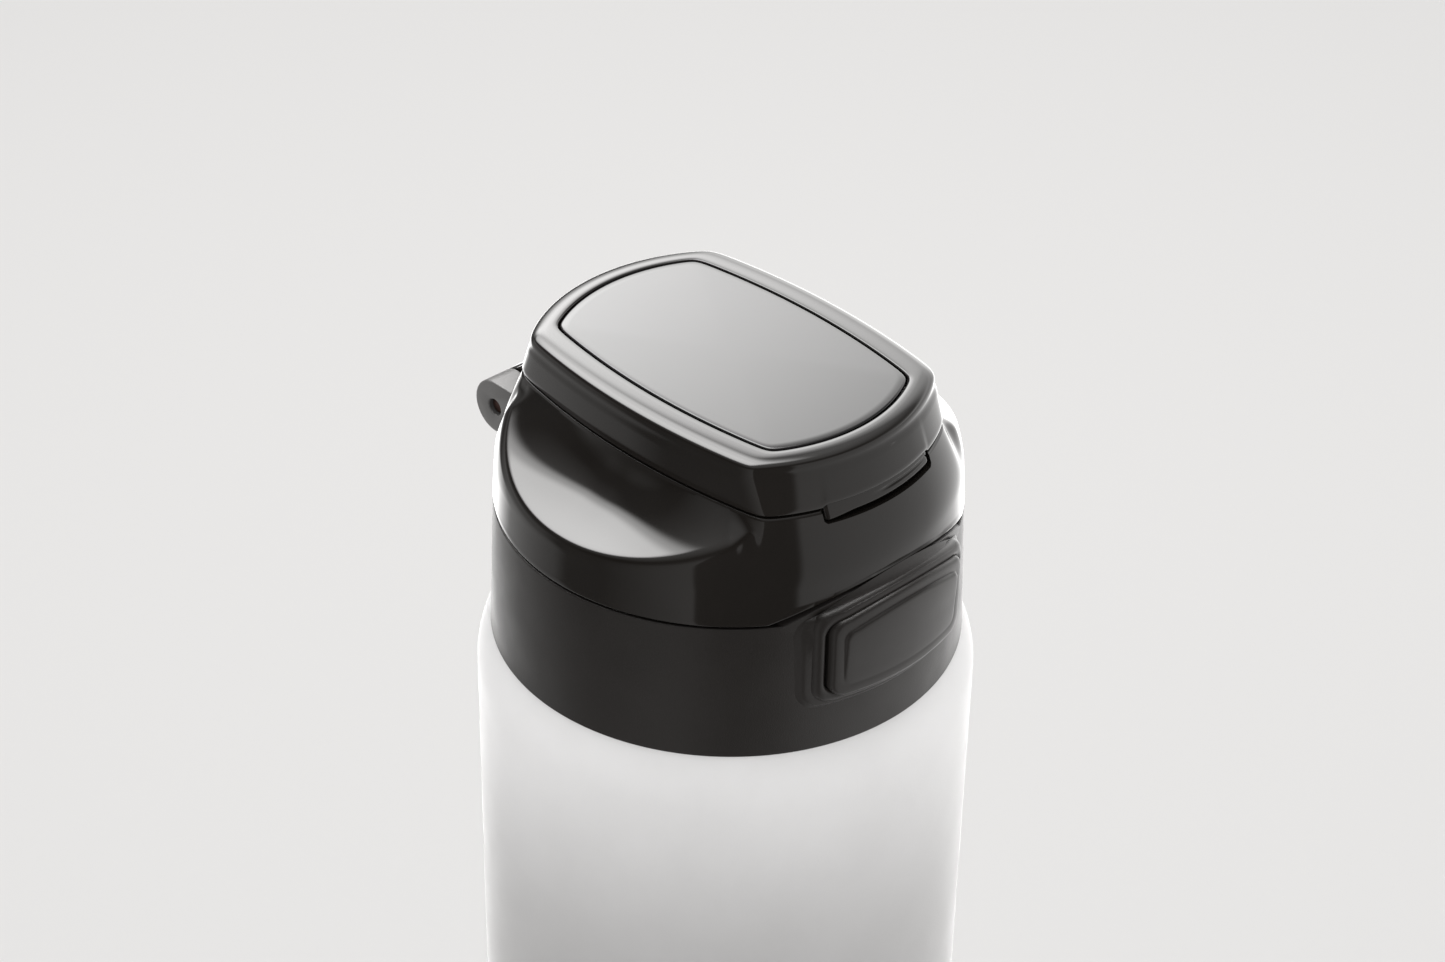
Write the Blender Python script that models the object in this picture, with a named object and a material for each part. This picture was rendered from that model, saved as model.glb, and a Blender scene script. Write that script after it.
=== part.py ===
"""Flip-top squeeze bottle with a screw cap, a sprung lid and a push-button latch.

Frame: Z is the bottle's axis, the foot stands on Z = 0, the button faces -Y and the lid's
hinge is at +Y. Heights of the cap's pieces are given above the cap's lower edge (CAP_Z).
Lengths below are in millimetres; emit() scales them to metres.
"""
from math import atan2, cos, degrees, pi, radians, sin, sqrt, tau

import bmesh
import bpy
from mathutils import Matrix, Vector

MM = 0.001
GAP = 0.3                      # clearance between neighbouring pieces
CAP_Z = 187.0                  # height of the cap's lower edge above the floor

# bottle
BODY_R = 36.5
WALL = 1.5
FOOT_IN_R, FOOT_OUT_R, FOOT_CORNER = 28.5, 31.0, 5.5
PUNT_R, PUNT_H = 20.0, 3.4
SHOULDER_R, SHOULDER_DROP = 13.0, 7.29
NECK_R, NECK_BORE_R, NECK_TOP = 27.4, 25.9, 17.0

# screw thread, right-handed
LEAD = 5.0
THREAD_TURNS = 1.25
THREAD_H = 1.2
THREAD_START_BODY, THREAD_START_CAP = 9.5, 7.0

# cap base
BASE_R, BASE_TOP_R, BASE_TOP = 34.46, 33.62, 21.35
SKIRT_IN_R, SKIRT_IN_TOP_R, SKIRT_IN_LOW = 32.66, 32.2, 2.6
SLEEVE_OUT_R, SLEEVE_IN_R, SLEEVE_LOW = 30.6, 29.0, 5.6
DECK_LOW, DECK_TOP = 19.0, 21.2

# button surround and button
BOSS_R, BOSS_HALF, BOSS_LOW, BOSS_TOP = 34.6, 16.4, 7.2, 22.3
BOSS_ARCH = 3.3                # rise of the surround's upper edge at its middle
BROW_HALF, BROW_LOW, BROW_TOP, BROW_ARCH = 19.0, 16.0, 21.3, 4.4
BEZEL_R, BEZEL_BACK_R = 35.3, 33.0
BEZEL_HALF, BEZEL_LOW, BEZEL_TOP = 14.9, 8.0, 23.1
BUTTON_R, BUTTON_HALF, BUTTON_LOW, BUTTON_TOP, BUTTON_ARCH = 36.0, 12.9, 9.2, 21.9, 1.7
BUTTON_BACK_R, BUTTON_PAD = 33.2, 0.4
WINDOW_BACK_R = 30.8           # the button's window and the slider's way reach in to here
SLIDER_WAY_HALF, SLIDER_WAY_H = 10.3, 2.4

# dome
DOME_LOW, DOME_LOW_R, DOME_BELT, DOME_BELT_R = 21.65, 33.6, 27.0, 33.25
SEAM_Z, SEAM_R, SEAM_HALF = 36.8, 30.2, 20.5
WELL_R, WELL_HALF, WELL_FLOOR, FLOOR_T, DOME_T = 27.6, 18.2, 30.0, 1.8, 1.8

# lid
LID_LOW, LID_TOP, LID_TOP_R, LID_TOP_HALF, LID_T = 37.1, 44.5, 28.2, 20.2, 1.8
PLATE_R, PLATE_HALF, PLATE_TOP, PLATE_LOW = 25.0, 15.4, 44.6, 43.2
LINER_LOW, LINER_TOP = 39.4, 40.8
TAB_HALF, TAB_LOW = 10.0, 35.6

# hinge
HINGE_Y, HINGE_Z = 37.2, 22.5
BARREL_R, PIN_R, EAR_IN, EAR_OUT, KNUCKLE_HALF = 4.25, 1.3, 7.0, 12.0, 6.7
PIN_SHORT = 0.7                # how far the pin's ends stay inside the ears
RELIEF_R, KNUCKLE_R = 4.75, 4.2
COIL_R, COIL_WIRE_R, COIL_TURNS, COIL_SLOT = 2.9, 0.35, 4, 3.1

# mouthpiece and latch
SPOUT_Y, SPOUT_R, SPOUT_BORE_R, SPOUT_TOP, FLANGE_R = -6.0, 8.2, 4.5, 38.2, 9.6
HOOK_Y, HOOK_HALF, HOOK_LOW = -25.5, 4.0, 26.3
LATCH_Y, LATCH_HALF, LATCH_TOP = -22.35, 13.0, 27.8
SPRING_X, SPRING_Z, SPRING_R, SPRING_WIRE_R = 11.0, 24.5, 1.6, 0.3
POST_Y0, POST_Y1, POST_HALF, POST_BORE_R = -16.4, -10.4, 2.3, 2.0
OUTLET_R, VENT_Y, VENT_R, VENT_HOLE_R = 5.0, 15.0, 3.0, 1.3


def clear_scene():
    for ob in list(bpy.data.objects):
        bpy.data.objects.remove(ob, do_unlink=True)


def material(name, colour, roughness, metallic=0.0):
    mat = bpy.data.materials.new(name)
    mat.use_nodes = True
    bsdf = mat.node_tree.nodes["Principled BSDF"]
    bsdf.inputs["Base Color"].default_value = (*colour, 1.0)
    bsdf.inputs["Roughness"].default_value = roughness
    bsdf.inputs["Metallic"].default_value = metallic
    mat.diffuse_color = (*colour, 1.0)
    return mat


def emit(name, bm, mat=None, origin=(0, 0, 0)):
    """Turn a bmesh in millimetres into a scene object in metres with its origin at a point."""
    bmesh.ops.recalc_face_normals(bm, faces=bm.faces)
    bmesh.ops.transform(bm, matrix=Matrix.Translation(-Vector(origin)), verts=bm.verts)
    bmesh.ops.scale(bm, vec=(MM, MM, MM), verts=bm.verts)
    me = bpy.data.meshes.new(name)
    bm.to_mesh(me)
    bm.free()
    ob = bpy.data.objects.new(name, me)
    ob.location = Vector(origin) * MM
    bpy.context.scene.collection.objects.link(ob)
    if mat:
        me.materials.append(mat)
    me.shade_smooth()
    me.set_sharp_from_angle(angle=radians(32))
    return ob


def guide(ob):
    """Mark a helper body, so that only what is cut from or joined to it counts."""
    ob.hide_render = True
    ob.display_type = "WIRE"
    return ob


def cutter(name, bm):
    return guide(emit(name, bm))


def boolean(ob, other, operation="DIFFERENCE"):
    mod = ob.modifiers.new(other.name, "BOOLEAN")
    mod.operation = operation
    mod.solver = "EXACT"
    mod.object = other


def loft(rings):
    """Closed body through rings of equal length; a ring given as one point closes an end."""
    bm = bmesh.new()
    rows = [[bm.verts.new(p) for p in ring] for ring in rings]
    for a, b in zip(rows, rows[1:]):
        n = max(len(a), len(b))
        for i in range(n):
            j = (i + 1) % n
            face = [a[i % len(a)], a[j % len(a)], b[j % len(b)], b[i % len(b)]]
            bm.faces.new(list(dict.fromkeys(face)))
    for row in (rows[0], rows[-1]):
        if len(row) > 1:
            bm.faces.new(row)
    return bm


def closed_loft(rings):
    """Ring-shaped body: the last ring joins the first."""
    bm = bmesh.new()
    rows = [[bm.verts.new(p) for p in ring] for ring in rings]
    for a, b in zip(rows, rows[1:] + rows[:1]):
        n = len(a)
        for i in range(n):
            bm.faces.new([a[i], a[(i + 1) % n], b[(i + 1) % n], b[i]])
    return bm


def circle(r, z, n, y=0.0):
    return [(r * cos(tau * i / n), y + r * sin(tau * i / n), z) for i in range(n)]


def turned(profile, n, y=0.0, closed=False):
    """Body of revolution about Z through (radius, height) points; radius 0 ends on the axis."""
    rings = [[(0.0, y, z)] if r == 0 else circle(r, z, n, y) for r, z in profile]
    return closed_loft(rings) if closed else loft(rings)


def prism(outline, a, b, axis):
    """Outline of 2-D points swept from a to b along an axis: X takes (y, z), Y takes (x, z)."""
    place = {"X": lambda t, p: (t, p[0], p[1]), "Y": lambda t, p: (p[0], t, p[1]),
             "Z": lambda t, p: (p[0], p[1], t)}[axis]
    return loft([[place(a, p) for p in outline], [place(b, p) for p in outline]])


def box(lo, hi):
    (x0, y0, z0), (x1, y1, z1) = lo, hi
    return prism([(x0, y0), (x1, y0), (x1, y1), (x0, y1)], z0, z1, "Z")


def disc(cy, cz, r, n, start=0.0, sweep=tau):
    """Points on a circle in a side view."""
    steps = n if sweep == tau else n + 1
    return [(cy + r * cos(start + sweep * i / n), cz + r * sin(start + sweep * i / n))
            for i in range(steps)]


def arc(cx, cz, r, a0, a1, n):
    return [(cx + r * cos(radians(a0 + (a1 - a0) * i / n)),
             cz + r * sin(radians(a0 + (a1 - a0) * i / n))) for i in range(n + 1)]


def ring_angles():
    """Angles about Z, closer together where the lid's outline turns its corners."""
    quarter = [0, 8, 16, 24, 32, 39, 45, 49, 52, 55, 59, 65, 73, 81]
    full = []
    for q in range(4):
        part = quarter if q % 2 == 0 else [0] + [90 - a for a in reversed(quarter[1:])]
        full += [radians(90 * q + a) for a in part]
    return full


ANGLES = ring_angles()


def lid_radius(angle, r, half, bulge=110.0, corner=50.0):
    """Distance from the axis to the lid's outline: a circle cut by two gently bowed sides."""
    c, s = abs(cos(angle)), abs(sin(angle))
    if c < 1e-6:
        return r
    if s < 1e-6:
        side = half / c
    else:
        k = s * s / (2 * bulge)
        side = (-c + sqrt(c * c + 4 * k * half)) / (2 * k)
    return (r ** -corner + side ** -corner) ** (-1 / corner)


def lid_ring(r, half, z):
    return [(lid_radius(a, r, half) * cos(a), lid_radius(a, r, half) * sin(a), z)
            for a in ANGLES]


def round_ring(r, z):
    return [(r * cos(a), r * sin(a), z) for a in ANGLES]


def dome_rings(steps):
    """Rings from the dome's belt to the lid's seam; the sides sink into a hollow shoulder."""
    rings = []
    for k in range(steps + 1):
        t = k / steps
        ring = []
        for a in ANGLES:
            top = lid_radius(a, SEAM_R, SEAM_HALF)
            side = min(max((DOME_BELT_R - top - 3.2) / 9.0, 0.0), 1.0)
            pts = [(DOME_BELT_R, DOME_BELT), (DOME_BELT_R - 0.15, DOME_BELT + 3.3),
                   (top + 1.3, SEAM_Z - 3.3 - 3.3 * side), (top, SEAM_Z)]
            w = [(1 - t) ** 3, 3 * t * (1 - t) ** 2, 3 * t * t * (1 - t), t ** 3]
            r = sum(c * p[0] for c, p in zip(w, pts))
            z = sum(c * p[1] for c, p in zip(w, pts))
            ring.append((r * cos(a), r * sin(a), z))
        rings.append(ring)
    return rings


def helix_ridge(r_root, r_tip, z_start, turns, per_turn=40):
    """Thread ridge: a trapezium swept up a helix, sinking into its wall at both ends."""
    n = int(turns * per_turn)
    fade = per_turn // 8
    rings = []
    for i in range(n + 1):
        a = tau * i / per_turn
        z = CAP_Z + z_start + LEAD * i / per_turn
        grow = min(1.0, i / fade, (n - i) / fade)
        tip = r_root + (r_tip - r_root) * (0.12 + 0.88 * grow)
        rings.append([(r * cos(a), r * sin(a), z + dz) for r, dz in
                      ((r_root, -0.9), (tip, -0.45), (tip, 0.45), (r_root, 0.9))])
    return loft(rings)


def coil(centre, radius, wire, turns, length, axis, legs=()):
    """Wire spring: a helix along X or Y with optional straight legs at its ends."""
    per_turn, sides = 10, 4
    path = []
    n = turns * per_turn
    for i in range(n + 1):
        a = tau * i / per_turn + pi
        t = length * i / n
        path.append((t, radius * cos(a), radius * sin(a)))
    place = {"X": lambda p: Vector((p[0], p[1], p[2])),
             "Y": lambda p: Vector((p[1], p[0], p[2]))}[axis]
    pts = [Vector(centre) + place(p) for p in path]
    if legs:
        pts = [pts[0] + Vector(legs[0])] + pts + [pts[-1] + Vector(legs[1])]
    along = Vector((1, 0, 0)) if axis == "X" else Vector((0, 1, 0))
    rings = []
    for i, p in enumerate(pts):
        d = (pts[min(i + 1, len(pts) - 1)] - pts[max(i - 1, 0)]).normalized()
        u = (along - d * along.dot(d)).normalized()
        v = d.cross(u)
        rings.append([p + wire * (u * cos(tau * k / sides) + v * sin(tau * k / sides))
                      for k in range(sides)])
    return loft(rings)


def up(points):
    return [(r, CAP_Z + z) for r, z in points]


def arched(half, low, top, rise, radius, n=8):
    """Front view of a pad: rounded lower corners and an upper edge that rises in the middle."""
    r = radius
    pts = arc(half - r, low + r, r, -90, 0, 3)
    pts += arc(half - r, top - r, r, 0, 70, 3)
    inner = half - r
    pts += [(inner * (1 - 2 * i / n), top + rise * (1 - (1 - 2 * i / n) ** 2))
            for i in range(1, n)]
    pts += [(-x, z) for x, z in reversed(arc(half - r, top - r, r, 0, 70, 3))]
    pts += [(-x, z) for x, z in reversed(arc(half - r, low + r, r, -90, 0, 3))]
    return [(x, CAP_Z + z) for x, z in pts]


def curved_slab(name, outline, r_in, r_out, mat=None, n=48):
    """Front piece between two radii: an outline swept along Y and trimmed by two cylinders."""
    ob = emit(name, prism(outline, -r_out - 2.0, -r_in + 9.0, "Y"), mat)
    zs = [z for _, z in outline]
    lo, hi = min(zs) - 2.0, max(zs) + 2.0
    outer = cutter(name + "_outer", turned([(0, lo), (r_out, lo), (r_out, hi), (0, hi)], 96))
    inner = cutter(name + "_inner", turned([(0, lo), (r_in, lo), (r_in, hi), (0, hi)], n))
    boolean(ob, outer, "INTERSECT")
    boolean(ob, inner)
    return ob


def build_body(mat):
    centre_z = CAP_Z - SHOULDER_DROP
    cx = BODY_R - SHOULDER_R
    foot = FOOT_CORNER
    top_angle = degrees(atan2(sqrt(SHOULDER_R ** 2 - (NECK_R - cx) ** 2), NECK_R - cx))
    r_in = SHOULDER_R - WALL
    in_angle = degrees(atan2(sqrt(r_in ** 2 - (NECK_BORE_R - cx) ** 2), NECK_BORE_R - cx))
    outer = [(0, PUNT_H + 0.8), (PUNT_R, PUNT_H), (FOOT_IN_R - 2, 1.4), (FOOT_IN_R, 0)]
    outer += arc(FOOT_OUT_R, foot, foot, -90, 0, 5)
    outer += arc(cx, centre_z, SHOULDER_R, 0, top_angle, 7)
    outer += up([(NECK_R, NECK_TOP - 0.4), (NECK_R - 0.4, NECK_TOP)])
    inner = up([(NECK_BORE_R, NECK_TOP)]) + arc(cx, centre_z, r_in, in_angle, 0, 6)
    inner += arc(FOOT_OUT_R, foot, foot - WALL, 0, -90, 4)
    inner += [(FOOT_IN_R, WALL), (FOOT_IN_R - 2, 1.4 + WALL), (PUNT_R, PUNT_H + WALL),
              (0, PUNT_H + 0.8 + WALL)]
    body = emit("bottle_body", turned(outer + inner, 48), mat)
    ridge = cutter("body_thread", helix_ridge(NECK_R - 0.4, NECK_R + THREAD_H,
                                              THREAD_START_BODY, THREAD_TURNS))
    boolean(body, ridge, "UNION")
    return body


def hinge_block_outline():
    back = [(31.4, 18.4), (31.4, HINGE_Z + BARREL_R)]
    nose = disc(HINGE_Y, HINGE_Z, BARREL_R, 12, pi / 2, -pi - radians(12))
    low = [(33.0, 18.4)]
    return [(y, CAP_Z + z) for y, z in back + nose + low]


def deck_hole(r, y, n):
    """Round cutter right through the cap's deck."""
    return turned(up([(0, DECK_LOW - 1), (r, DECK_LOW - 1), (r, DECK_TOP + 1), (0, DECK_TOP + 1)]),
                  n, y)


def build_base(mat):
    profile = [(0, DECK_TOP), (BASE_TOP_R - 0.5, DECK_TOP), (BASE_TOP_R - 0.5, BASE_TOP),
               (BASE_TOP_R, BASE_TOP - 0.4), (BASE_R, 0.0), (BASE_R - 0.3, 0.45),
               (SKIRT_IN_R, SKIRT_IN_LOW), (SKIRT_IN_TOP_R, DECK_LOW),
               (SLEEVE_OUT_R, DECK_LOW), (SLEEVE_OUT_R, SLEEVE_LOW),
               (SLEEVE_IN_R, SLEEVE_LOW), (SLEEVE_IN_R, DECK_LOW), (0, DECK_LOW)]
    base = emit("cap_base", turned(up(profile), 72), mat)

    brow = guide(curved_slab("brow", arched(BROW_HALF, BROW_LOW, BROW_TOP, BROW_ARCH, 0.6),
                             SKIRT_IN_R - 0.1, BASE_TOP_R, n=72))
    boss = guide(curved_slab("boss", arched(BOSS_HALF, BOSS_LOW, BOSS_TOP, BOSS_ARCH, 3.0),
                             SKIRT_IN_R - 0.1, BOSS_R, n=72))
    boolean(base, brow, "UNION")
    boolean(base, boss, "UNION")
    block = cutter("hinge_block", prism(hinge_block_outline(), -EAR_OUT, EAR_OUT, "X"))
    boolean(base, block, "UNION")
    posts = [cutter(f"spring_post_{side}",
                    box((x - POST_HALF, POST_Y0, CAP_Z + DECK_TOP - 1.0),
                        (x + POST_HALF, POST_Y1, CAP_Z + SPRING_Z + 2.5)))
             for side, x in (("l", -SPRING_X), ("r", SPRING_X))]
    for post in posts:
        boolean(base, post, "UNION")
    ridge = cutter("cap_thread", helix_ridge(SLEEVE_IN_R + 0.4, SLEEVE_IN_R - THREAD_H + 0.05,
                                             THREAD_START_CAP, THREAD_TURNS))
    boolean(base, ridge, "UNION")

    window = guide(curved_slab("button_window",
                               arched(BUTTON_HALF + GAP, BUTTON_LOW - GAP, BUTTON_TOP + GAP,
                                      BUTTON_ARCH, 2.2), WINDOW_BACK_R, BOSS_R + 2.0,
                               n=96))
    seat = guide(curved_slab("bezel_seat",
                             arched(BEZEL_HALF + GAP, BEZEL_LOW - GAP, BEZEL_TOP + GAP,
                                    BUTTON_ARCH, 2.8), BEZEL_BACK_R - GAP + 0.9,
                             BOSS_R + 2.0, n=96))
    cuts = [window, seat,
            cutter("slider_way", box((-SLIDER_WAY_HALF, -33.5, CAP_Z + DECK_TOP + 0.001),
                                     (SLIDER_WAY_HALF, -30.0, CAP_Z + DECK_TOP + SLIDER_WAY_H))),
            cutter("knuckle_relief", prism([(y, CAP_Z + z) for y, z in
                                            disc(HINGE_Y, HINGE_Z, RELIEF_R, 20)],
                                           -EAR_IN, EAR_IN, "X")),
            cutter("knuckle_gap", box((-EAR_IN, 33.4, CAP_Z + 17.0),
                                      (EAR_IN, 43.0, CAP_Z + 28.0))),
            cutter("pin_bore", prism([(y, CAP_Z + z) for y, z in
                                      disc(HINGE_Y, HINGE_Z, PIN_R + GAP, 16)],
                                     -EAR_OUT - 1, EAR_OUT + 1, "X")),
            cutter("outlet", deck_hole(OUTLET_R, SPOUT_Y, 20)),
            cutter("vent_hole", deck_hole(VENT_HOLE_R, VENT_Y, 10))]
    for side, x in (("l", -SPRING_X), ("r", SPRING_X)):
        ring = disc(x, CAP_Z + SPRING_Z, POST_BORE_R, 10)
        cuts.append(cutter(f"spring_bore_{side}", prism(ring, POST_Y0 - 1, POST_Y1 - 0.9, "Y")))
    for cut in cuts:
        boolean(base, cut)
    return base


def build_dome(mat):
    outer = dome_rings(6)
    ceiling = WELL_FLOOR - FLOOR_T
    rings = [lid_ring(27.0, 19.0, ceiling), lid_ring(29.5, 26.0, ceiling),
             round_ring(DOME_BELT_R - DOME_T, DOME_BELT - DOME_T - 0.1),
             round_ring(DOME_LOW_R - DOME_T, DOME_LOW),
             round_ring(DOME_LOW_R - 0.4, DOME_LOW), round_ring(DOME_LOW_R, DOME_LOW + 0.4)]
    rings += outer
    rings += [lid_ring(WELL_R, WELL_HALF, SEAM_Z), lid_ring(WELL_R, WELL_HALF, WELL_FLOOR)]
    rings = [[(x, y, CAP_Z + z) for x, y, z in ring] for ring in rings]
    dome = emit("dome_shell", loft(rings), mat)
    arch = arched(BROW_HALF + GAP, 10.0, BROW_TOP + GAP, BROW_ARCH, 0.6)
    cuts = [cutter("arch_cut", prism(arch, -38.0, -22.0, "Y")),
            cutter("hinge_cut", box((-EAR_OUT - GAP, 27.0, CAP_Z + 17.0),
                                    (EAR_OUT + GAP, 40.0, CAP_Z + HINGE_Z + BARREL_R + GAP))),
            cutter("spout_hole", turned(up([(0, 27), (SPOUT_R + GAP, 27),
                                            (SPOUT_R + GAP, 31), (0, 31)]), 28, SPOUT_Y)),
            cutter("hook_hole", box((-HOOK_HALF - 0.6, -27.2, CAP_Z + 27.0),
                                    (HOOK_HALF + 0.6, -22.7, CAP_Z + 31.0))),
            cutter("finger_notch", box((-TAB_HALF - 0.6, -34.0, CAP_Z + TAB_LOW - 0.6),
                                       (TAB_HALF + 0.6, -27.0, CAP_Z + 38.0)))]
    for cut in cuts:
        boolean(dome, cut)
    return dome


def build_lid(mat, origin):
    pocket = PLATE_LOW - GAP
    ceiling = pocket - LID_T
    rings = [lid_ring(26.6, LID_TOP_HALF - 1.8, ceiling),
             lid_ring(SEAM_R - 1.9, SEAM_HALF - 1.8, LID_LOW),
             lid_ring(SEAM_R - 0.3, SEAM_HALF - 0.3, LID_LOW),
             lid_ring(SEAM_R - 0.05, SEAM_HALF, LID_LOW + 0.4),
             lid_ring(LID_TOP_R + 0.35, LID_TOP_HALF + 0.1, LID_TOP - 1.7),
             lid_ring(LID_TOP_R - 0.3, LID_TOP_HALF - 0.4, LID_TOP - 0.7),
             lid_ring(LID_TOP_R - 1.6, LID_TOP_HALF - 1.6, LID_TOP - 0.1),
             lid_ring(PLATE_R + 0.5, PLATE_HALF + 0.5, LID_TOP),
             lid_ring(PLATE_R + GAP, PLATE_HALF + GAP, pocket)]
    rings = [[(x, y, CAP_Z + z) for x, y, z in ring] for ring in rings]
    lid = emit("flip_lid", loft(rings), mat, origin)
    arm = [(28.4, 40.6), (28.4, 37.3), (30.8, 37.1), (32.25, 33.6), (33.9, 30.3), (33.9, 26.0),
           (35.0, 22.5), (40.6, 24.5), (38.6, 26.4), (36.8, 28.6), (35.2, 32.4), (33.0, 36.4),
           (30.5, 39.4), (29.3, 40.6)]
    parts = [cutter("lid_arm", prism([(y, CAP_Z + z) for y, z in arm],
                                     -KNUCKLE_HALF, KNUCKLE_HALF, "X")),
             cutter("knuckle", prism([(y, CAP_Z + z) for y, z in
                                      disc(HINGE_Y, HINGE_Z, KNUCKLE_R, 24)],
                                     -KNUCKLE_HALF, KNUCKLE_HALF, "X")),
             cutter("finger_tab", prism([(x, y) for x, y in
                                         ((-TAB_HALF, -27.4), (-TAB_HALF, -28.7), (-5, -29.9),
                                          (0, -30.3), (5, -29.9), (TAB_HALF, -28.7),
                                          (TAB_HALF, -27.4))],
                                        CAP_Z + TAB_LOW, CAP_Z + LID_LOW + 1.2, "Z"))]
    for part in parts:
        boolean(lid, part, "UNION")
    cuts = [cutter("knuckle_bore", prism([(y, CAP_Z + z) for y, z in
                                          disc(HINGE_Y, HINGE_Z, PIN_R + GAP, 16)],
                                         -EAR_OUT, EAR_OUT, "X")),
            cutter("coil_slot", prism([(y, CAP_Z + z) for y, z in
                                       disc(HINGE_Y, HINGE_Z, 6.0, 20)],
                                      -COIL_SLOT, COIL_SLOT, "X"))]
    for cut in cuts:
        boolean(lid, cut)
    return lid


def build_liner(mat, origin):
    rings = [lid_ring(26.4, 18.0, LINER_LOW), lid_ring(26.2, 17.9, LINER_TOP)]
    rings = [[(x, y, CAP_Z + z) for x, y, z in ring] for ring in rings]
    return emit("lid_liner", loft(rings), mat, origin)


def build_hook(mat, origin):
    top = LINER_LOW - GAP
    side = [(HOOK_Y - 0.8, top), (HOOK_Y - 0.8, HOOK_LOW + 0.5), (HOOK_Y - 0.3, HOOK_LOW),
            (HOOK_Y + 0.9, HOOK_LOW), (HOOK_Y + 1.6, HOOK_LOW + 1.0),
            (HOOK_Y + 1.6, HOOK_LOW + 1.3), (HOOK_Y + 0.7, HOOK_LOW + 1.3),
            (HOOK_Y + 0.7, top - 1.4), (HOOK_Y + 3.4, top - 1.0), (HOOK_Y + 3.4, top)]
    return emit("latch_hook", prism([(y, CAP_Z + z) for y, z in side],
                                    -HOOK_HALF, HOOK_HALF, "X"), mat, origin)


def build_slider(mat, origin):
    foot_low, foot_top = DECK_TOP + GAP, DECK_TOP + 1.8
    front_y = -BUTTON_BACK_R
    foot = [(front_y, foot_low), (LATCH_Y + 0.75, foot_low), (LATCH_Y + 0.75, foot_top),
            (front_y, foot_top)]
    slider = emit("latch_slider", prism([(y, CAP_Z + z) for y, z in foot], -9.8, 9.8, "X"),
                  mat, origin)
    wall = box((-LATCH_HALF, LATCH_Y - 0.75, CAP_Z + foot_low),
               (LATCH_HALF, LATCH_Y + 0.75, CAP_Z + LATCH_TOP))
    boolean(slider, cutter("latch_wall", wall), "UNION")
    reach = BUTTON_BACK_R - GAP
    boolean(slider, cutter("slider_front", turned(up([(0, 20), (reach, 20), (reach, 30), (0, 30)]),
                                                  96)), "INTERSECT")
    return slider


def build_button(mat, origin):
    outline = arched(BUTTON_HALF, BUTTON_LOW, BUTTON_TOP, BUTTON_ARCH, 2.2)
    button = curved_slab("button_cap", outline, BUTTON_BACK_R, BUTTON_R, mat)
    pad = guide(curved_slab("button_pad", arched(BUTTON_HALF - 1.4, BUTTON_LOW + 1.0,
                                                 BUTTON_TOP - 1.4, BUTTON_ARCH - 0.2, 1.6),
                            BUTTON_BACK_R + 1.0, BUTTON_R + BUTTON_PAD))
    boolean(button, pad, "UNION")
    return button


def build_bezel(mat):
    outer = arched(BEZEL_HALF, BEZEL_LOW, BEZEL_TOP, BUTTON_ARCH, 2.8)
    bezel = curved_slab("button_bezel", outer, BEZEL_BACK_R + 0.9, BEZEL_R, mat)
    inner = arched(BUTTON_HALF + GAP, BUTTON_LOW - GAP, BUTTON_TOP + GAP, BUTTON_ARCH, 2.2)
    boolean(bezel, cutter("bezel_window", prism(inner, -39.0, -28.0, "Y")))
    return bezel


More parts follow.
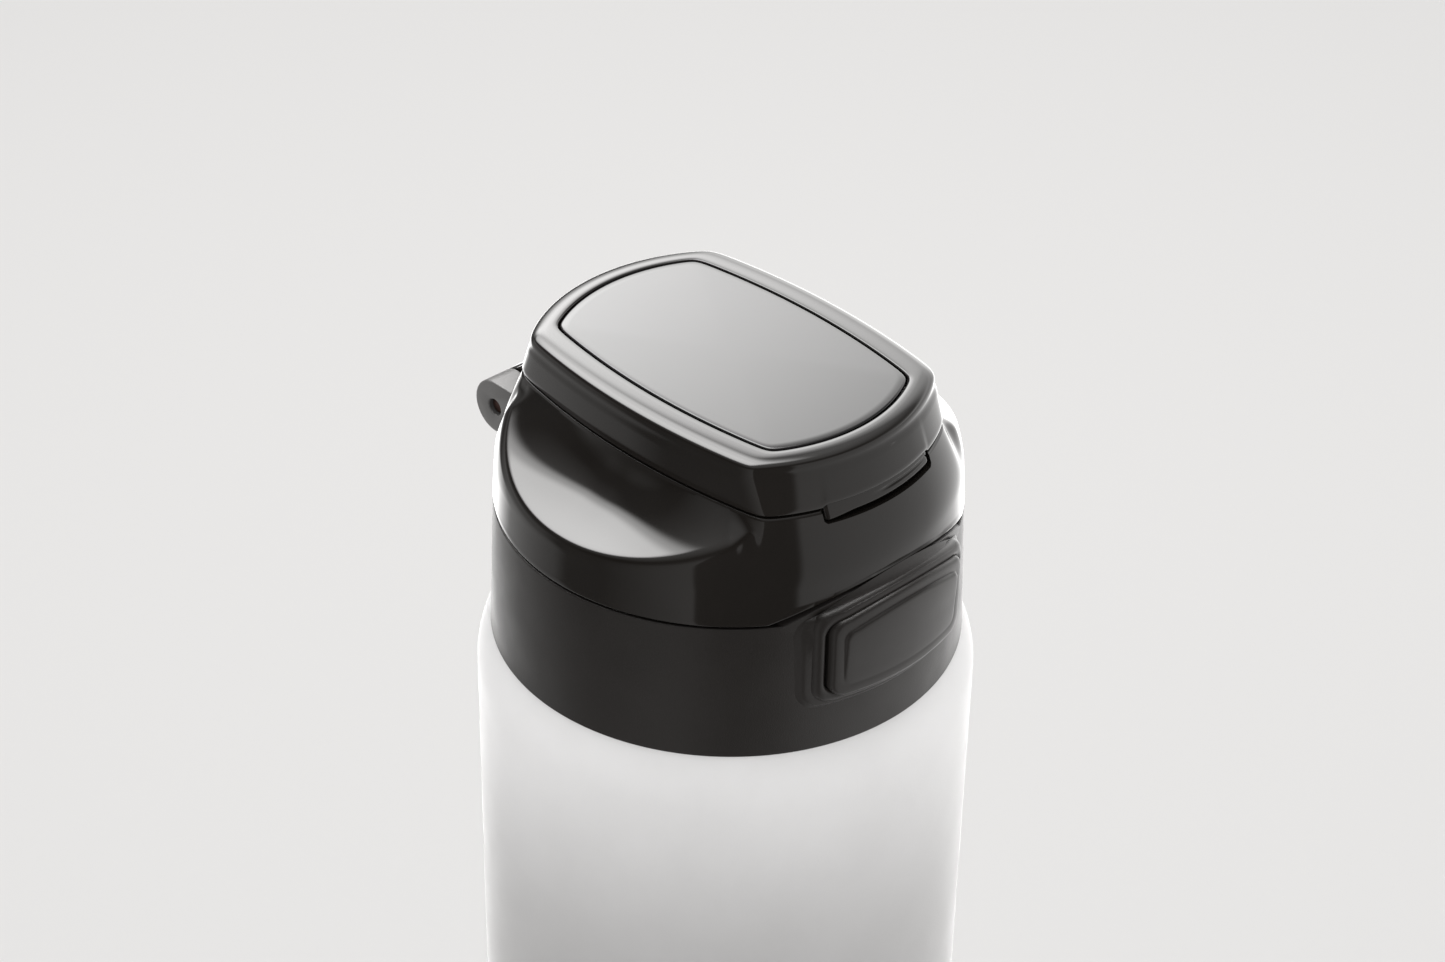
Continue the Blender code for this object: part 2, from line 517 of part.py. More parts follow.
def build():
    clear_scene()
    gloss = material("gloss_black", (0.010, 0.010, 0.011), 0.08)
    matte = material("matte_black", (0.022, 0.022, 0.022), 0.45)
    frost = material("frosted_white", (0.80, 0.80, 0.81), 0.40)
    silicone = material("clear_silicone", (0.62, 0.62, 0.62), 0.50)
    soft = material("grey_silicone", (0.20, 0.20, 0.21), 0.60)
    liner = material("liner_black", (0.030, 0.030, 0.031), 0.50)
    steel = material("spring_steel", (0.55, 0.54, 0.52), 0.28, 1.0)
    brown = material("pin_steel", (0.16, 0.10, 0.08), 0.40, 1.0)

    hinge = (0.0, HINGE_Y, CAP_Z + HINGE_Z)
    cap = (0.0, 0.0, CAP_Z)
    front = (0.0, -BUTTON_R, CAP_Z + 15.0)

    build_body(frost)
    emit("neck_gasket", turned(up([(26.1, 17.3), (28.2, 17.3), (28.2, 18.7), (26.1, 18.7)]),
                               48, closed=True), silicone, cap)
    build_base(matte)
    build_dome(gloss)
    build_bezel(matte)

    spout = up([(SPOUT_BORE_R, 23.0), (6.6, 23.0), (6.6, DECK_TOP + GAP),
                (FLANGE_R, DECK_TOP + GAP), (FLANGE_R, 23.6), (SPOUT_R, 24.4),
                (SPOUT_R, 33.0), (SPOUT_R - 0.8, SPOUT_TOP - 0.9),
                (SPOUT_R - 1.8, SPOUT_TOP), (SPOUT_BORE_R + 0.7, SPOUT_TOP),
                (SPOUT_BORE_R, SPOUT_TOP - 0.8)])
    emit("spout", turned(spout, 32, SPOUT_Y, closed=True), silicone, cap)
    lip = WELL_FLOOR + GAP
    emit("spout_grommet", turned(up([(SPOUT_R + GAP, lip), (10.4, lip), (10.2, lip + 0.9),
                                     (SPOUT_R + GAP, lip + 1.3)]), 28, SPOUT_Y, closed=True),
         soft, cap)
    valve = up([(0.9, DECK_TOP + GAP), (6.2, DECK_TOP + GAP), (6.2, 22.6), (4.0, 22.6),
                (3.0, 22.1), (0.9, 22.1)])
    emit("spout_valve", turned(valve, 24, SPOUT_Y, closed=True), soft, cap)
    vent = up([(0, 22.3), (VENT_R - 0.6, 22.0), (VENT_R, DECK_TOP + GAP), (0.9, DECK_TOP + GAP),
               (0.9, DECK_LOW - 0.6), (0, DECK_LOW - 0.6)])
    emit("vent_valve", turned(vent, 16, VENT_Y), soft, cap)

    build_lid(gloss, hinge)
    plate = [lid_ring(PLATE_R - 0.2, PLATE_HALF - 0.2, PLATE_LOW),
             lid_ring(PLATE_R, PLATE_HALF, PLATE_LOW + 0.3),
             lid_ring(PLATE_R, PLATE_HALF, PLATE_TOP - 0.35),
             lid_ring(PLATE_R - 0.4, PLATE_HALF - 0.4, PLATE_TOP)]
    emit("lid_plate", loft([[(x, y, CAP_Z + z) for x, y, z in ring] for ring in plate]),
         gloss, hinge)
    build_liner(liner, hinge)
    build_hook(liner, hinge)
    seal = up([(0, LINER_LOW - GAP), (7.0, LINER_LOW - GAP), (7.0, SPOUT_TOP + GAP),
               (3.7, SPOUT_TOP + GAP), (3.3, SPOUT_TOP - 1.0), (0, SPOUT_TOP - 1.0)])
    emit("spout_seal", turned(seal, 28, SPOUT_Y), soft, hinge)

    pin = prism([(y, CAP_Z + z) for y, z in disc(HINGE_Y, HINGE_Z, PIN_R, 14)],
                -EAR_OUT + PIN_SHORT, EAR_OUT - PIN_SHORT, "X")
    emit("hinge_pin", pin, brown, hinge)
    spring = coil((-2.2, HINGE_Y, CAP_Z + HINGE_Z), COIL_R, COIL_WIRE_R, COIL_TURNS, 4.4, "X",
                  ((0, 0, 3.9), (0, 0, -3.3)))
    emit("hinge_spring", spring, steel, hinge)

    build_button(matte, front)
    build_slider(liner, front)
    for side, x in (("left", -SPRING_X), ("right", SPRING_X)):
        spring = coil((x, LATCH_Y + 0.75 + GAP + SPRING_WIRE_R, CAP_Z + SPRING_Z), SPRING_R - 0.1,
                      SPRING_WIRE_R, 5, 6.4, "Y")
        emit(f"button_spring_{side}", spring, steel, front)


build()
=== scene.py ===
"""Looks of a flip-top sports squeeze bottle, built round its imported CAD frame.

Shapes below are in millimetres, with heights above the collar's lower edge, and mesh_object() turns
both into the frame's metres. The button faces -Y, and the lid's hinge is at +Y.
"""

from math import atan2, cos, degrees, pi, radians, sin, sqrt, tau

import bmesh
import bpy
from mathutils import Matrix, Vector


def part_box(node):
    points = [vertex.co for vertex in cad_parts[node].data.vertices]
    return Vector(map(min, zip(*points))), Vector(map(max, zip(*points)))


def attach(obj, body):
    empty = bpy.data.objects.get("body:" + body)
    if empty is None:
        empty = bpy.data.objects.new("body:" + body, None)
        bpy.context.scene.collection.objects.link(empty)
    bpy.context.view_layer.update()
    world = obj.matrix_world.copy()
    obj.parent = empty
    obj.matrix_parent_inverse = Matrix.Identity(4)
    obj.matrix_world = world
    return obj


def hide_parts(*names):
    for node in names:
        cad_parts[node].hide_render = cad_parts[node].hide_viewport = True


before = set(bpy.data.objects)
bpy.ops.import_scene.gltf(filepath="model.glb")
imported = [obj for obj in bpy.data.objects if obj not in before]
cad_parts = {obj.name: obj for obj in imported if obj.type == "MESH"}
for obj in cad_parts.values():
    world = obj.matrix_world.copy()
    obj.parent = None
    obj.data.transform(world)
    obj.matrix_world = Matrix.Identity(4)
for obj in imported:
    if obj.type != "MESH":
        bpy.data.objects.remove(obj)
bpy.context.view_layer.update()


def mm(node, corner, axis):
    """One coordinate of a CAD node's box, in millimetres."""
    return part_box(node)[corner][axis] * 1000


# sizes read from the frame
CAP_Z = mm("cap_base", 0, 2)
BODY_R = mm("bottle_body", 1, 0)
COLLAR_R = mm("cap_base", 1, 0)
SEAM_HALF = mm("flip_lid", 1, 0)
PLATE_HALF = mm("lid_plate", 1, 0)
PLATE_R = mm("lid_plate", 1, 1)
PLATE_TOP = mm("lid_plate", 1, 2) - CAP_Z
LID_TOP = mm("flip_lid", 1, 2) - CAP_Z
PIN_LO, PIN_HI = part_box("hinge_pin")
HINGE_Y = (PIN_LO.y + PIN_HI.y) * 500
HINGE_Z = (PIN_LO.z + PIN_HI.z) * 500 - CAP_Z
SPOUT_LO, SPOUT_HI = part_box("spout")
SPOUT_Y = (SPOUT_LO.y + SPOUT_HI.y) * 500
SPOUT_TOP = SPOUT_HI.z * 1000 - CAP_Z
BUTTON_HALF = mm("button_cap", 1, 0)
BUTTON_LOW = mm("button_cap", 0, 2) - CAP_Z

# the body's wall and neck
WALL = 1.5
FOOT_IN_R, FOOT_R, FOOT_CORNER, PUNT_R, PUNT_H = 28.5, 31.0, 5.5, 20.0, 3.4
SHOULDER_R, SHOULDER_DROP = 13.0, 7.29
NECK_R, NECK_BORE_R, NECK_TOP, LEAD, THREAD_TURNS = 27.4, 25.9, 17.0, 5.0, 1.25

# collar
COLLAR_TOP_R, COLLAR_TOP, DECK_LOW, DECK_TOP = 33.62, 21.35, 19.0, 21.2
SKIRT_R, SKIRT_TOP_R, SLEEVE_OUT_R, SLEEVE_IN_R, SLEEVE_LOW = 32.66, 32.2, 30.6, 29.0, 5.6

# button and its surround
BUTTON_R, BUTTON_TOP, BUTTON_ARCH, BUTTON_BACK_R = 36.0, 21.9, 1.7, 33.2
PAD_INSET, PAD_RISE = 2.3, 0.42         # the raised pad on the button's face
BEZEL_R, BEZEL_HALF, BEZEL_LOW, BEZEL_TOP, BEZEL_CORNER = 35.3, 14.9, 8.0, 23.1, 2.8
BOSS_R, BOSS_HALF, BOSS_LOW, LAP = 34.6, 16.4, 7.2, 0.3
SURROUND_REACH = 1.45                   # the outermost ring, where 1 is the boss's own outline
SLOPE_R, SLOPE_DROP, SLOPE_Z, SLOPE_END_Z = 35.12, 1.45, 15.5, 22.5
BROW_HALF, BROW_LOW, BROW_TOP, BROW_ARCH = 19.0, 15.0, 21.3, 4.4
WINDOW_INSET, WINDOW_CORNER = 0.6, 2.4
POCKET_R, POCKET_CORNER = 30.8, 2.6
POCKET_MID, POCKET_REACH = 15.5, 9.0    # the level line that the pocket's floor closes on

# dome
DOME_LOW, DOME_LOW_R, BELT_Z, BELT_R = 21.65, 33.6, 27.0, 33.25
SEAM_Z, SEAM_R, LIP = 36.8, 30.2, 0.3
SCOOP_START, SCOOP_FULL = 3.06, 6.4     # depth of the seam behind the belt
HOLLOW_IN, HOLLOW_UP = 0.16, 0.34       # where the hollow's curve is pulled to
HOLLOW_FLAT, HOLLOW_DEEP = 49.0, 4.0    # degrees from the side where the hollow ends and is full
EDGE_Z, EDGE_CLIMB, EDGE_END, EDGE_TOP, EDGE_ROLL = 28.8, 3.8, 41.0, 35.0, 1.1
WELL_R, WELL_HALF, WELL_FLOOR, WELL_CORNER, FLOOR_T = 27.6, 18.2, 30.0, 0.8, 1.8

# lid
LID_LOW, LID_TOP_R, LID_TOP_HALF, LID_T = 37.1, 28.2, 20.2, 1.8
SIDE_BOW_R, CORNER_POWER = 110.0, 50.0  # the outline's bowed sides, and how tight its corners are
RIM_POWER = 0.57                        # 1 would round the rim as an ellipse
TAB_HALF, TAB_LOW, TAB_LEAN, TAB_LIFT = 10.0, 35.4, 0.36, 0.4
NOTCH_SIDE, NOTCH_UNDER, NOTCH_BACK = 0.4, 0.35, 27.9
PLATE_CROWN, PLATE_EDGE, PLATE_T, RIM_EDGE, RIM_DROP = 0.10, 0.32, 1.3, 0.28, 1.75
LINER_R, LINER_HALF = 26.4, 18.0
BARREL_R, EAR_IN, EAR_OUT, KNUCKLE_R, KNUCKLE_HALF = 4.25, 7.0, 12.0, 4.2, 6.7
PIN_R, EAR_BORE_R, ARM_BORE_R, COIL_SLOT_R, COIL_SLOT_HALF = 1.24, 1.3, 1.6, 6.0, 3.1
GAP = 0.3                               # between parts that don't touch
VENT_Y, HOOK_HALF = 15.0, 4.0

TURN = 288                              # sides of a large turned piece
OUTLINE = 560                           # points round the lid's outline


# ---------------------------------------------------------------- mesh helpers

def grid(rings, loop=False, cap_first=False, cap_last=False):
    """Faces through equal closed rings. Returns (points, faces)."""
    n = len(rings[0])
    points = [p for ring in rings for p in ring]
    faces = []
    last = len(rings) if loop else len(rings) - 1
    for k in range(last):
        a, b = k * n, (k + 1) % len(rings) * n
        faces += [(a + i, a + (i + 1) % n, b + (i + 1) % n, b + i) for i in range(n)]
    if cap_first:
        faces.append(tuple(range(n)))
    if cap_last:
        faces.append(tuple(len(points) - n + i for i in range(n)))
    return points, faces


def joined(parts):
    """Several (points, faces) as one."""
    points, faces = [], []
    for p, f in parts:
        base = len(points)
        points += p
        faces += [tuple(i + base for i in face) for face in f]
    return points, faces


def mesh_object(name, parts, sharp=38):
    """One object in the frame's metres from parts in millimetres above the collar's edge."""
    points, faces = joined(parts)
    me = bpy.data.meshes.new(name)
    me.from_pydata([(x / 1000, y / 1000, (z + CAP_Z) / 1000) for x, y, z in points], [], faces)
    bm = bmesh.new()
    bm.from_mesh(me)
    bmesh.ops.remove_doubles(bm, verts=bm.verts, dist=2e-6)
    bmesh.ops.recalc_face_normals(bm, faces=bm.faces)
    bm.to_mesh(me)
    bm.free()
    ob = bpy.data.objects.new(name, me)
    bpy.context.scene.collection.objects.link(ob)
    smooth(ob, sharp)
    return ob


def smooth(ob, sharp=38):
    """Smooth shading with edges sharper than an angle kept crisp."""
    ob.data.shade_smooth()
    ob.data.set_sharp_from_angle(angle=radians(sharp))


def carve(ob, cutters):
    """Cut the ob by each cutter and keep only the result."""
    for c in cutters:
        mod = ob.modifiers.new(c.name, "BOOLEAN")
        mod.operation, mod.solver, mod.object = "DIFFERENCE", "EXACT", c
    dg = bpy.context.evaluated_depsgraph_get()
    me = bpy.data.meshes.new_from_object(ob.evaluated_get(dg))
    ob.modifiers.clear()
    ob.data = me
    for c in cutters:
        bpy.data.objects.remove(c)
    smooth(ob)


def rounded(ob, width):
    """Bevel the ob's sharp edges for good."""
    mod = ob.modifiers.new("edge", "BEVEL")
    mod.width, mod.segments = width / 1000, 3
    mod.limit_method, mod.angle_limit = "ANGLE", radians(35)
    dg = bpy.context.evaluated_depsgraph_get()
    me = bpy.data.meshes.new_from_object(ob.evaluated_get(dg))
    ob.modifiers.clear()
    ob.data = me
    smooth(ob)


def turned(profile, n=TURN, y=0.0, loop=False):
    """Body of revolution about the vertical through (0, y), from (radius, height) points."""
    rings = [[(max(r, 0.001) * cos(tau * i / n), y + max(r, 0.001) * sin(tau * i / n), z)
              for i in range(n)] for r, z in profile]
    return grid(rings, loop=loop)


def prism(outline, a, b, axis):
    """Outline swept along an axis: X takes (y, z), Y takes (x, z), Z takes (x, y)."""
    where = {"X": lambda t, p: (t, p[0], p[1]), "Y": lambda t, p: (p[0], t, p[1]),
             "Z": lambda t, p: (p[0], p[1], t)}[axis]
    rings = [[where(t, p) for p in outline] for t in (a, b)]
    return grid(rings, cap_first=True, cap_last=True)


def arc(cx, cz, r, a0, a1, n):
    """Points of an arc from angle a0 to a1, in degrees."""
    return [(cx + r * cos(radians(a0 + (a1 - a0) * i / n)),
             cz + r * sin(radians(a0 + (a1 - a0) * i / n))) for i in range(n + 1)]


def rounded_profile(points, radius, n=4, loop=False):
    """Corners of a profile replaced with short curves, so that no edge is knife-sharp."""
    out, count = [], len(points)
    for i, p in enumerate(points):
        if not loop and i in (0, count - 1):
            out.append(p)
            continue
        a, b = Vector(points[i - 1]), Vector(points[(i + 1) % count])
        v = Vector(p)
        da, db = a - v, b - v
        if da.length < 1e-6 or db.length < 1e-6:
            out.append(p)
            continue
        cut = min(radius, da.length * 0.45, db.length * 0.45)
        s, e = v + da.normalized() * cut, v + db.normalized() * cut
        for k in range(n + 1):
            t = k / n
            q = s * (1 - t) ** 2 + v * 2 * t * (1 - t) + e * t * t
            out.append((q.x, q.y))
    return out


def smoothstep(a, b, x):
    """0 up to a and 1 from b, with a soft slope between."""
    t = min(max((x - a) / (b - a), 0.0), 1.0)
    return t * t * (3 - 2 * t)


# ---------------------------------------------------------------- shared outlines

def lid_radius(angle, r, half):
    """Distance from the axis to the lid's outline: a circle cut by two gently bowed sides."""
    c, s = abs(cos(angle)), abs(sin(angle))
    if c < 1e-6:
        return r
    side = half / c
    if s > 1e-6:
        k = s * s / (2 * SIDE_BOW_R)
        side = (-c + sqrt(c * c + 4 * k * half)) / (2 * k)
    return (r ** -CORNER_POWER + side ** -CORNER_POWER) ** (-1 / CORNER_POWER)


def outline_angles():
    """Angles about the axis, closest together where the lid's outline turns its corners."""
    corner, spread, extra = radians(50), radians(9), 4.0
    fine = 4000

    def density(a):
        near = min(abs(abs(a) - corner), abs(abs(a) - (pi - corner)))
        return 1.0 + extra / (1 + (near / spread) ** 2)

    total, marks = 0.0, [0.0]
    for k in range(fine):
        total += density(-pi + tau * (k + 0.5) / fine)
        marks.append(total)
    out, j = [], 0
    for i in range(OUTLINE):
        want = total * i / OUTLINE
        while marks[j + 1] < want:
            j += 1
        t = (want - marks[j]) / (marks[j + 1] - marks[j])
        out.append(-pi + tau * (j + t) / fine)
    return out


ANGLES = outline_angles()


def lid_ring(r, half, z):
    """Ring along the lid's outline. z may be a function of the angle."""
    height = z if callable(z) else (lambda a: z)
    return [(lid_radius(a, r, half) * cos(a), lid_radius(a, r, half) * sin(a), height(a))
            for a in ANGLES]


def shrunk(ring, share):
    """Ring drawn in towards the axis."""
    return [(x * share, y * share, z) for x, y, z in ring]


def arched(half, low, top, rise, radius, n=6, across=24):
    """Front view of a pad: rounded corners and an upper edge that rises in the middle."""
    r = max(radius, 0.05)
    inner = half - r
    right = arc(inner, low + r, r, -90, 0, n)
    right += [(half, low + r + (top - low - 2 * r) * k / 6) for k in range(1, 6)]
    right += arc(inner, top - r, r, 0, 75, n)
    over = [(inner * (1 - 2 * i / across), top + rise * (1 - (1 - 2 * i / across) ** 2))
            for i in range(1, across)]
    left = [(-x, z) for x, z in reversed(right)]
    under = [(-inner + 2 * inner * i / across, low) for i in range(1, across)]
    return right + over + left + under


def on_cylinder(outline, radius):
    """Front-view points moved onto a cylinder about the axis. radius may be a function of (x, z)."""
    out = []
    for x, z in outline:
        r = radius(x, z) if callable(radius) else radius
        a = x / r
        out.append((r * sin(a), -r * cos(a), z))
    return out


def contracted(outline, share, mid_z, reach):
    """Outline pulled towards the level line from -reach to reach, for filling a pad's face."""
    return [(x + (min(max(x, -reach), reach) - x) * share, z + (mid_z - z) * share)
            for x, z in outline]


def collar_r(z):
    """Radius of the collar's tapered wall at a height."""
    return COLLAR_R + (COLLAR_TOP_R - COLLAR_R) * z / COLLAR_TOP


# ---------------------------------------------------------------- materials

def new_material(name):
    mat = bpy.data.materials.new(name)
    mat.use_nodes = True
    nt = mat.node_tree
    return mat, nt, nt.nodes["Principled BSDF"]


def coords(nt):
    return nt.nodes.new("ShaderNodeTexCoord").outputs["Object"]


def noise(nt, scale, detail):
    node = nt.nodes.new("ShaderNodeTexNoise")
    node.inputs["Scale"].default_value = scale
    node.inputs["Detail"].default_value = detail
    nt.links.new(coords(nt), node.inputs["Vector"])
    return node.outputs["Fac"]


def remap(nt, value, lo, hi, to_lo, to_hi):
    node = nt.nodes.new("ShaderNodeMapRange")
    node.inputs["From Min"].default_value = lo
    node.inputs["From Max"].default_value = hi
    node.inputs["To Min"].default_value = to_lo
    node.inputs["To Max"].default_value = to_hi
    nt.links.new(value, node.inputs["Value"])
    return node.outputs["Result"]


def tint(nt, value, dark, light):
    node = nt.nodes.new("ShaderNodeMix")
    node.data_type = "RGBA"
    node.inputs["A"].default_value = (*dark, 1)
    node.inputs["B"].default_value = (*light, 1)
    nt.links.new(value, node.inputs["Factor"])
    return node.outputs["Result"]


def bump(nt, bsdf, height, strength, distance):
    node = nt.nodes.new("ShaderNodeBump")
    node.inputs["Strength"].default_value = strength
    node.inputs["Distance"].default_value = distance
    nt.links.new(height, node.inputs["Height"])
    nt.links.new(node.outputs["Normal"], bsdf.inputs["Normal"])


def moulded(name, dark, light, rough, rough_span, grain, grain_depth, grain_strength, **sockets):
    """Moulded plastic: a faint mottle in colour and roughness, and a grain in relief."""
    mat, nt, bsdf = new_material(name)
    mottle = noise(nt, 60, 3)
    nt.links.new(tint(nt, remap(nt, mottle, 0.35, 0.65, 0, 1), dark, light),
                 bsdf.inputs["Base Color"])
    nt.links.new(remap(nt, noise(nt, 180, 4), 0.3, 0.7, rough - rough_span, rough + rough_span),
                 bsdf.inputs["Roughness"])
    bump(nt, bsdf, noise(nt, grain, 2), grain_strength, grain_depth)
    for key, value in sockets.items():
        bsdf.inputs[key.replace("_", " ")].default_value = value
    return mat


def metal(name, dark, light, rough):
    """Drawn metal: streaks in colour, roughness and relief."""
    mat, nt, bsdf = new_material(name)
    bsdf.inputs["Metallic"].default_value = 1.0
    drawn = noise(nt, 900, 3)
    nt.links.new(tint(nt, remap(nt, drawn, 0.35, 0.65, 0, 1), dark, light),
                 bsdf.inputs["Base Color"])
    nt.links.new(remap(nt, drawn, 0.3, 0.7, rough - 0.08, rough + 0.12), bsdf.inputs["Roughness"])
    bump(nt, bsdf, drawn, 0.15, 0.00005)
    return mat


GLOSS = moulded("gloss_black", (0.0080, 0.0069, 0.0060), (0.0098, 0.0085, 0.0075),
                0.075, 0.002, 500, 0.00001, 0.02, IOR=1.5)
PLATE = moulded("plate_black", (0.0066, 0.0063, 0.0063), (0.0082, 0.0078, 0.0078),
                0.11, 0.004, 500, 0.00001, 0.015, IOR=1.5)
MATTE = moulded("matte_black", (0.0112, 0.0097, 0.0088), (0.0135, 0.0118, 0.0108),
                0.42, 0.03, 5200, 0.00006, 0.35, IOR=1.5)
SATIN = moulded("satin_black", (0.0112, 0.0097, 0.0088), (0.0130, 0.0114, 0.0104),
                0.40, 0.03, 5200, 0.00004, 0.22, IOR=1.5)
LINER = moulded("liner_black", (0.016, 0.016, 0.016), (0.021, 0.021, 0.021),
                0.5, 0.05, 2600, 0.00008, 0.3, IOR=1.5)
FROST = moulded("frosted_white", (0.67, 0.665, 0.665), (0.70, 0.695, 0.695),
                0.42, 0.03, 3000, 0.00006, 0.25, IOR=1.5, Specular_IOR_Level=0.3,
                Subsurface_Weight=0.35, Subsurface_Scale=0.01, Subsurface_Radius=(1, 1, 1))
SILICONE = moulded("clear_silicone", (0.66, 0.66, 0.66), (0.72, 0.72, 0.72),
                   0.42, 0.05, 1800, 0.00006, 0.2, IOR=1.42,
                   Subsurface_Weight=0.5, Subsurface_Scale=0.004,
                   Subsurface_Radius=(1, 1, 1))
GREY = moulded("grey_silicone", (0.17, 0.17, 0.18), (0.21, 0.21, 0.22),
               0.55, 0.05, 2200, 0.00006, 0.25, IOR=1.42)
EAR = moulded("hinge_grey", (0.085, 0.083, 0.081), (0.11, 0.108, 0.106),
              0.40, 0.04, 3600, 0.00005, 0.3, IOR=1.5)
STEEL = metal("spring_steel", (0.50, 0.49, 0.47), (0.62, 0.61, 0.59), 0.25)
BROWN = metal("pin_steel", (0.10, 0.055, 0.045), (0.20, 0.12, 0.10), 0.42)


def piece(ob, mat, body, stands_for=()):
    """Give a piece its material, the body it rides on and the CAD nodes it replaces."""
    ob.data.materials.clear()
    ob.data.materials.append(mat)
    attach(ob, body)
    if stands_for:
        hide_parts(*stands_for)


# ---------------------------------------------------------------- bottle body

def helix_ridge(r_root, r_tip, z_start):
    """Thread ridge: a rounded trapezium swept up a helix, sinking into its wall at both ends."""
    per_turn, fade = 120, 15
    n = int(THREAD_TURNS * per_turn)
    rings = []
    for i in range(n + 1):
        a, z = tau * i / per_turn, z_start + LEAD * i / per_turn
        grow = smoothstep(0, 1, min(1.0, i / fade, (n - i) / fade))
        tip = r_root + (r_tip - r_root) * (0.1 + 0.9 * grow)
        section = rounded_profile([(r_root, -0.9), (tip, -0.45), (tip, 0.45), (r_root, 0.9)],
                                  0.3, 2)
        rings.append([(r * cos(a), r * sin(a), z + dz) for r, dz in section])
    return grid(rings, cap_first=True, cap_last=True)


def build_body():
    cz, cx = -SHOULDER_DROP, BODY_R - SHOULDER_R
    top = degrees(atan2(sqrt(SHOULDER_R ** 2 - (NECK_R - cx) ** 2), NECK_R - cx))
    r_in = SHOULDER_R - WALL
    top_in = degrees(atan2(sqrt(r_in ** 2 - (NECK_BORE_R - cx) ** 2), NECK_BORE_R - cx))
    floor, foot = -CAP_Z, FOOT_CORNER
    outer = [(0, floor + PUNT_H + 0.8), (PUNT_R * 0.5, floor + PUNT_H + 0.6),
             (PUNT_R, floor + PUNT_H), (FOOT_IN_R - 2, floor + 1.4), (FOOT_IN_R, floor)]
    outer = rounded_profile(outer, 1.2, 4)
    outer += arc(FOOT_R, floor + foot, foot, -90, 0, 14)
    straight = [floor + foot + (cz - floor - foot) * k / 24 for k in range(1, 24)]
    outer += [(BODY_R, z) for z in straight]
    outer += arc(cx, cz, SHOULDER_R, 0, top, 26)
    outer += rounded_profile([(NECK_R, 5.0), (NECK_R, NECK_TOP), (NECK_BORE_R, NECK_TOP),
                              (NECK_BORE_R, 5.0)], 0.5, 4)
    inner = arc(cx, cz, r_in, top_in, 0, 18)
    inner += arc(FOOT_R, floor + foot, foot - WALL, 0, -90, 10)
    inner += [(FOOT_IN_R, floor + WALL), (PUNT_R, floor + PUNT_H + WALL),
              (0, floor + PUNT_H + 0.8 + WALL)]
    thread = helix_ridge(NECK_R - 0.3, NECK_R + 1.2, 9.5)
    ob = mesh_object("squeeze_body", [turned(outer + inner, 256), thread])
    piece(ob, FROST, "bottle", ["bottle_body"])


def build_gasket():
    seal = rounded_profile([(26.1, 17.3), (28.2, 17.3), (28.2, 18.7), (26.1, 18.7)], 0.3, 3, True)
    ob = mesh_object("gasket_ring", [turned(seal, 160, loop=True)])
    piece(ob, SILICONE, "seal_ring", ["neck_gasket"])


# ---------------------------------------------------------------- collar and its surround

def arch_z(x):
    """Height of the dome's lower edge above the button's surround."""
    return BROW_TOP + GAP + BROW_ARCH * (1 - (x / (BROW_HALF + GAP)) ** 2)


def window_cutter(back):
    """Cutter for the opening behind the button's frame, in to y = back."""
    outline = arched(BEZEL_HALF - WINDOW_INSET, BEZEL_LOW + WINDOW_INSET, BEZEL_TOP - WINDOW_INSET,
                     BUTTON_ARCH, WINDOW_CORNER)
    return mesh_object("window", [prism(outline, -40, back, "Y")])


def build_collar():
    r = COLLAR_TOP_R
    profile = [(0, DECK_TOP), (r - 0.5, DECK_TOP), (r - 0.5, COLLAR_TOP), (r - 0.02, COLLAR_TOP - 0.05),
               (COLLAR_R, 0.0), (COLLAR_R - 0.5, 0.1), (SKIRT_R, 2.6), (SKIRT_TOP_R, DECK_LOW),
               (SLEEVE_OUT_R, DECK_LOW), (SLEEVE_OUT_R, SLEEVE_LOW),
               (SLEEVE_IN_R, SLEEVE_LOW), (SLEEVE_IN_R, DECK_LOW), (0, DECK_LOW)]
    ob = mesh_object("screw_collar", [turned(rounded_profile(profile, 0.22, 4))])
    window = window_cutter(-20)
    core = [(0, 0), (POCKET_R, 0), (POCKET_R, 30), (0, 30)]
    carve(window, [mesh_object("core", [turned(core)])])
    relief = mesh_object("relief", [prism([(33.4, 17), (43, 17), (43, 28), (33.4, 28)],
                                          -EAR_IN, EAR_IN, "X")])
    carve(ob, [window, relief])
    piece(ob, MATTE, "cap", ["cap_base"])

    thread = helix_ridge(SLEEVE_IN_R + 0.2, SLEEVE_IN_R - 1.15, 7.0)
    piece(mesh_object("collar_thread", [thread]), MATTE, "cap")


def build_surround():
    """Soft step round the button; above the button it is one slope up to the dome's arch."""
    def ring(grow, radius):
        reach = grow / SURROUND_REACH
        half = BEZEL_HALF - LAP + grow * (BOSS_HALF - BEZEL_HALF + LAP)
        low = BEZEL_LOW + LAP + grow * (BOSS_LOW - BEZEL_LOW - LAP)
        top, rise = BEZEL_TOP - LAP - 0.6 * reach, BUTTON_ARCH + 2.4 * reach

        def level(x, z):
            side = radius(z) if callable(radius) else radius
            over = SLOPE_R - SLOPE_DROP * reach ** 0.5
            return side + (over - side) * smoothstep(SLOPE_Z, SLOPE_END_Z, z)
        return on_cylinder(arched(half, low, top, rise, BEZEL_CORNER + grow * 0.4, across=48), level)

    rings = [ring(0, 33.6), ring(0, BOSS_R - 0.02), ring(0.2, BOSS_R), ring(0.6, BOSS_R),
             ring(0.75, BOSS_R - 0.03), ring(0.88, BOSS_R - 0.12), ring(1.0, BOSS_R - 0.3),
             ring(1.12, lambda z: collar_r(z) + 0.08), ring(1.3, lambda z: collar_r(z) - 0.08),
             ring(SURROUND_REACH, lambda z: collar_r(z) - 0.5)]
    ob = mesh_object("button_surround", [grid(rings)], 60)
    piece(ob, MATTE, "cap")


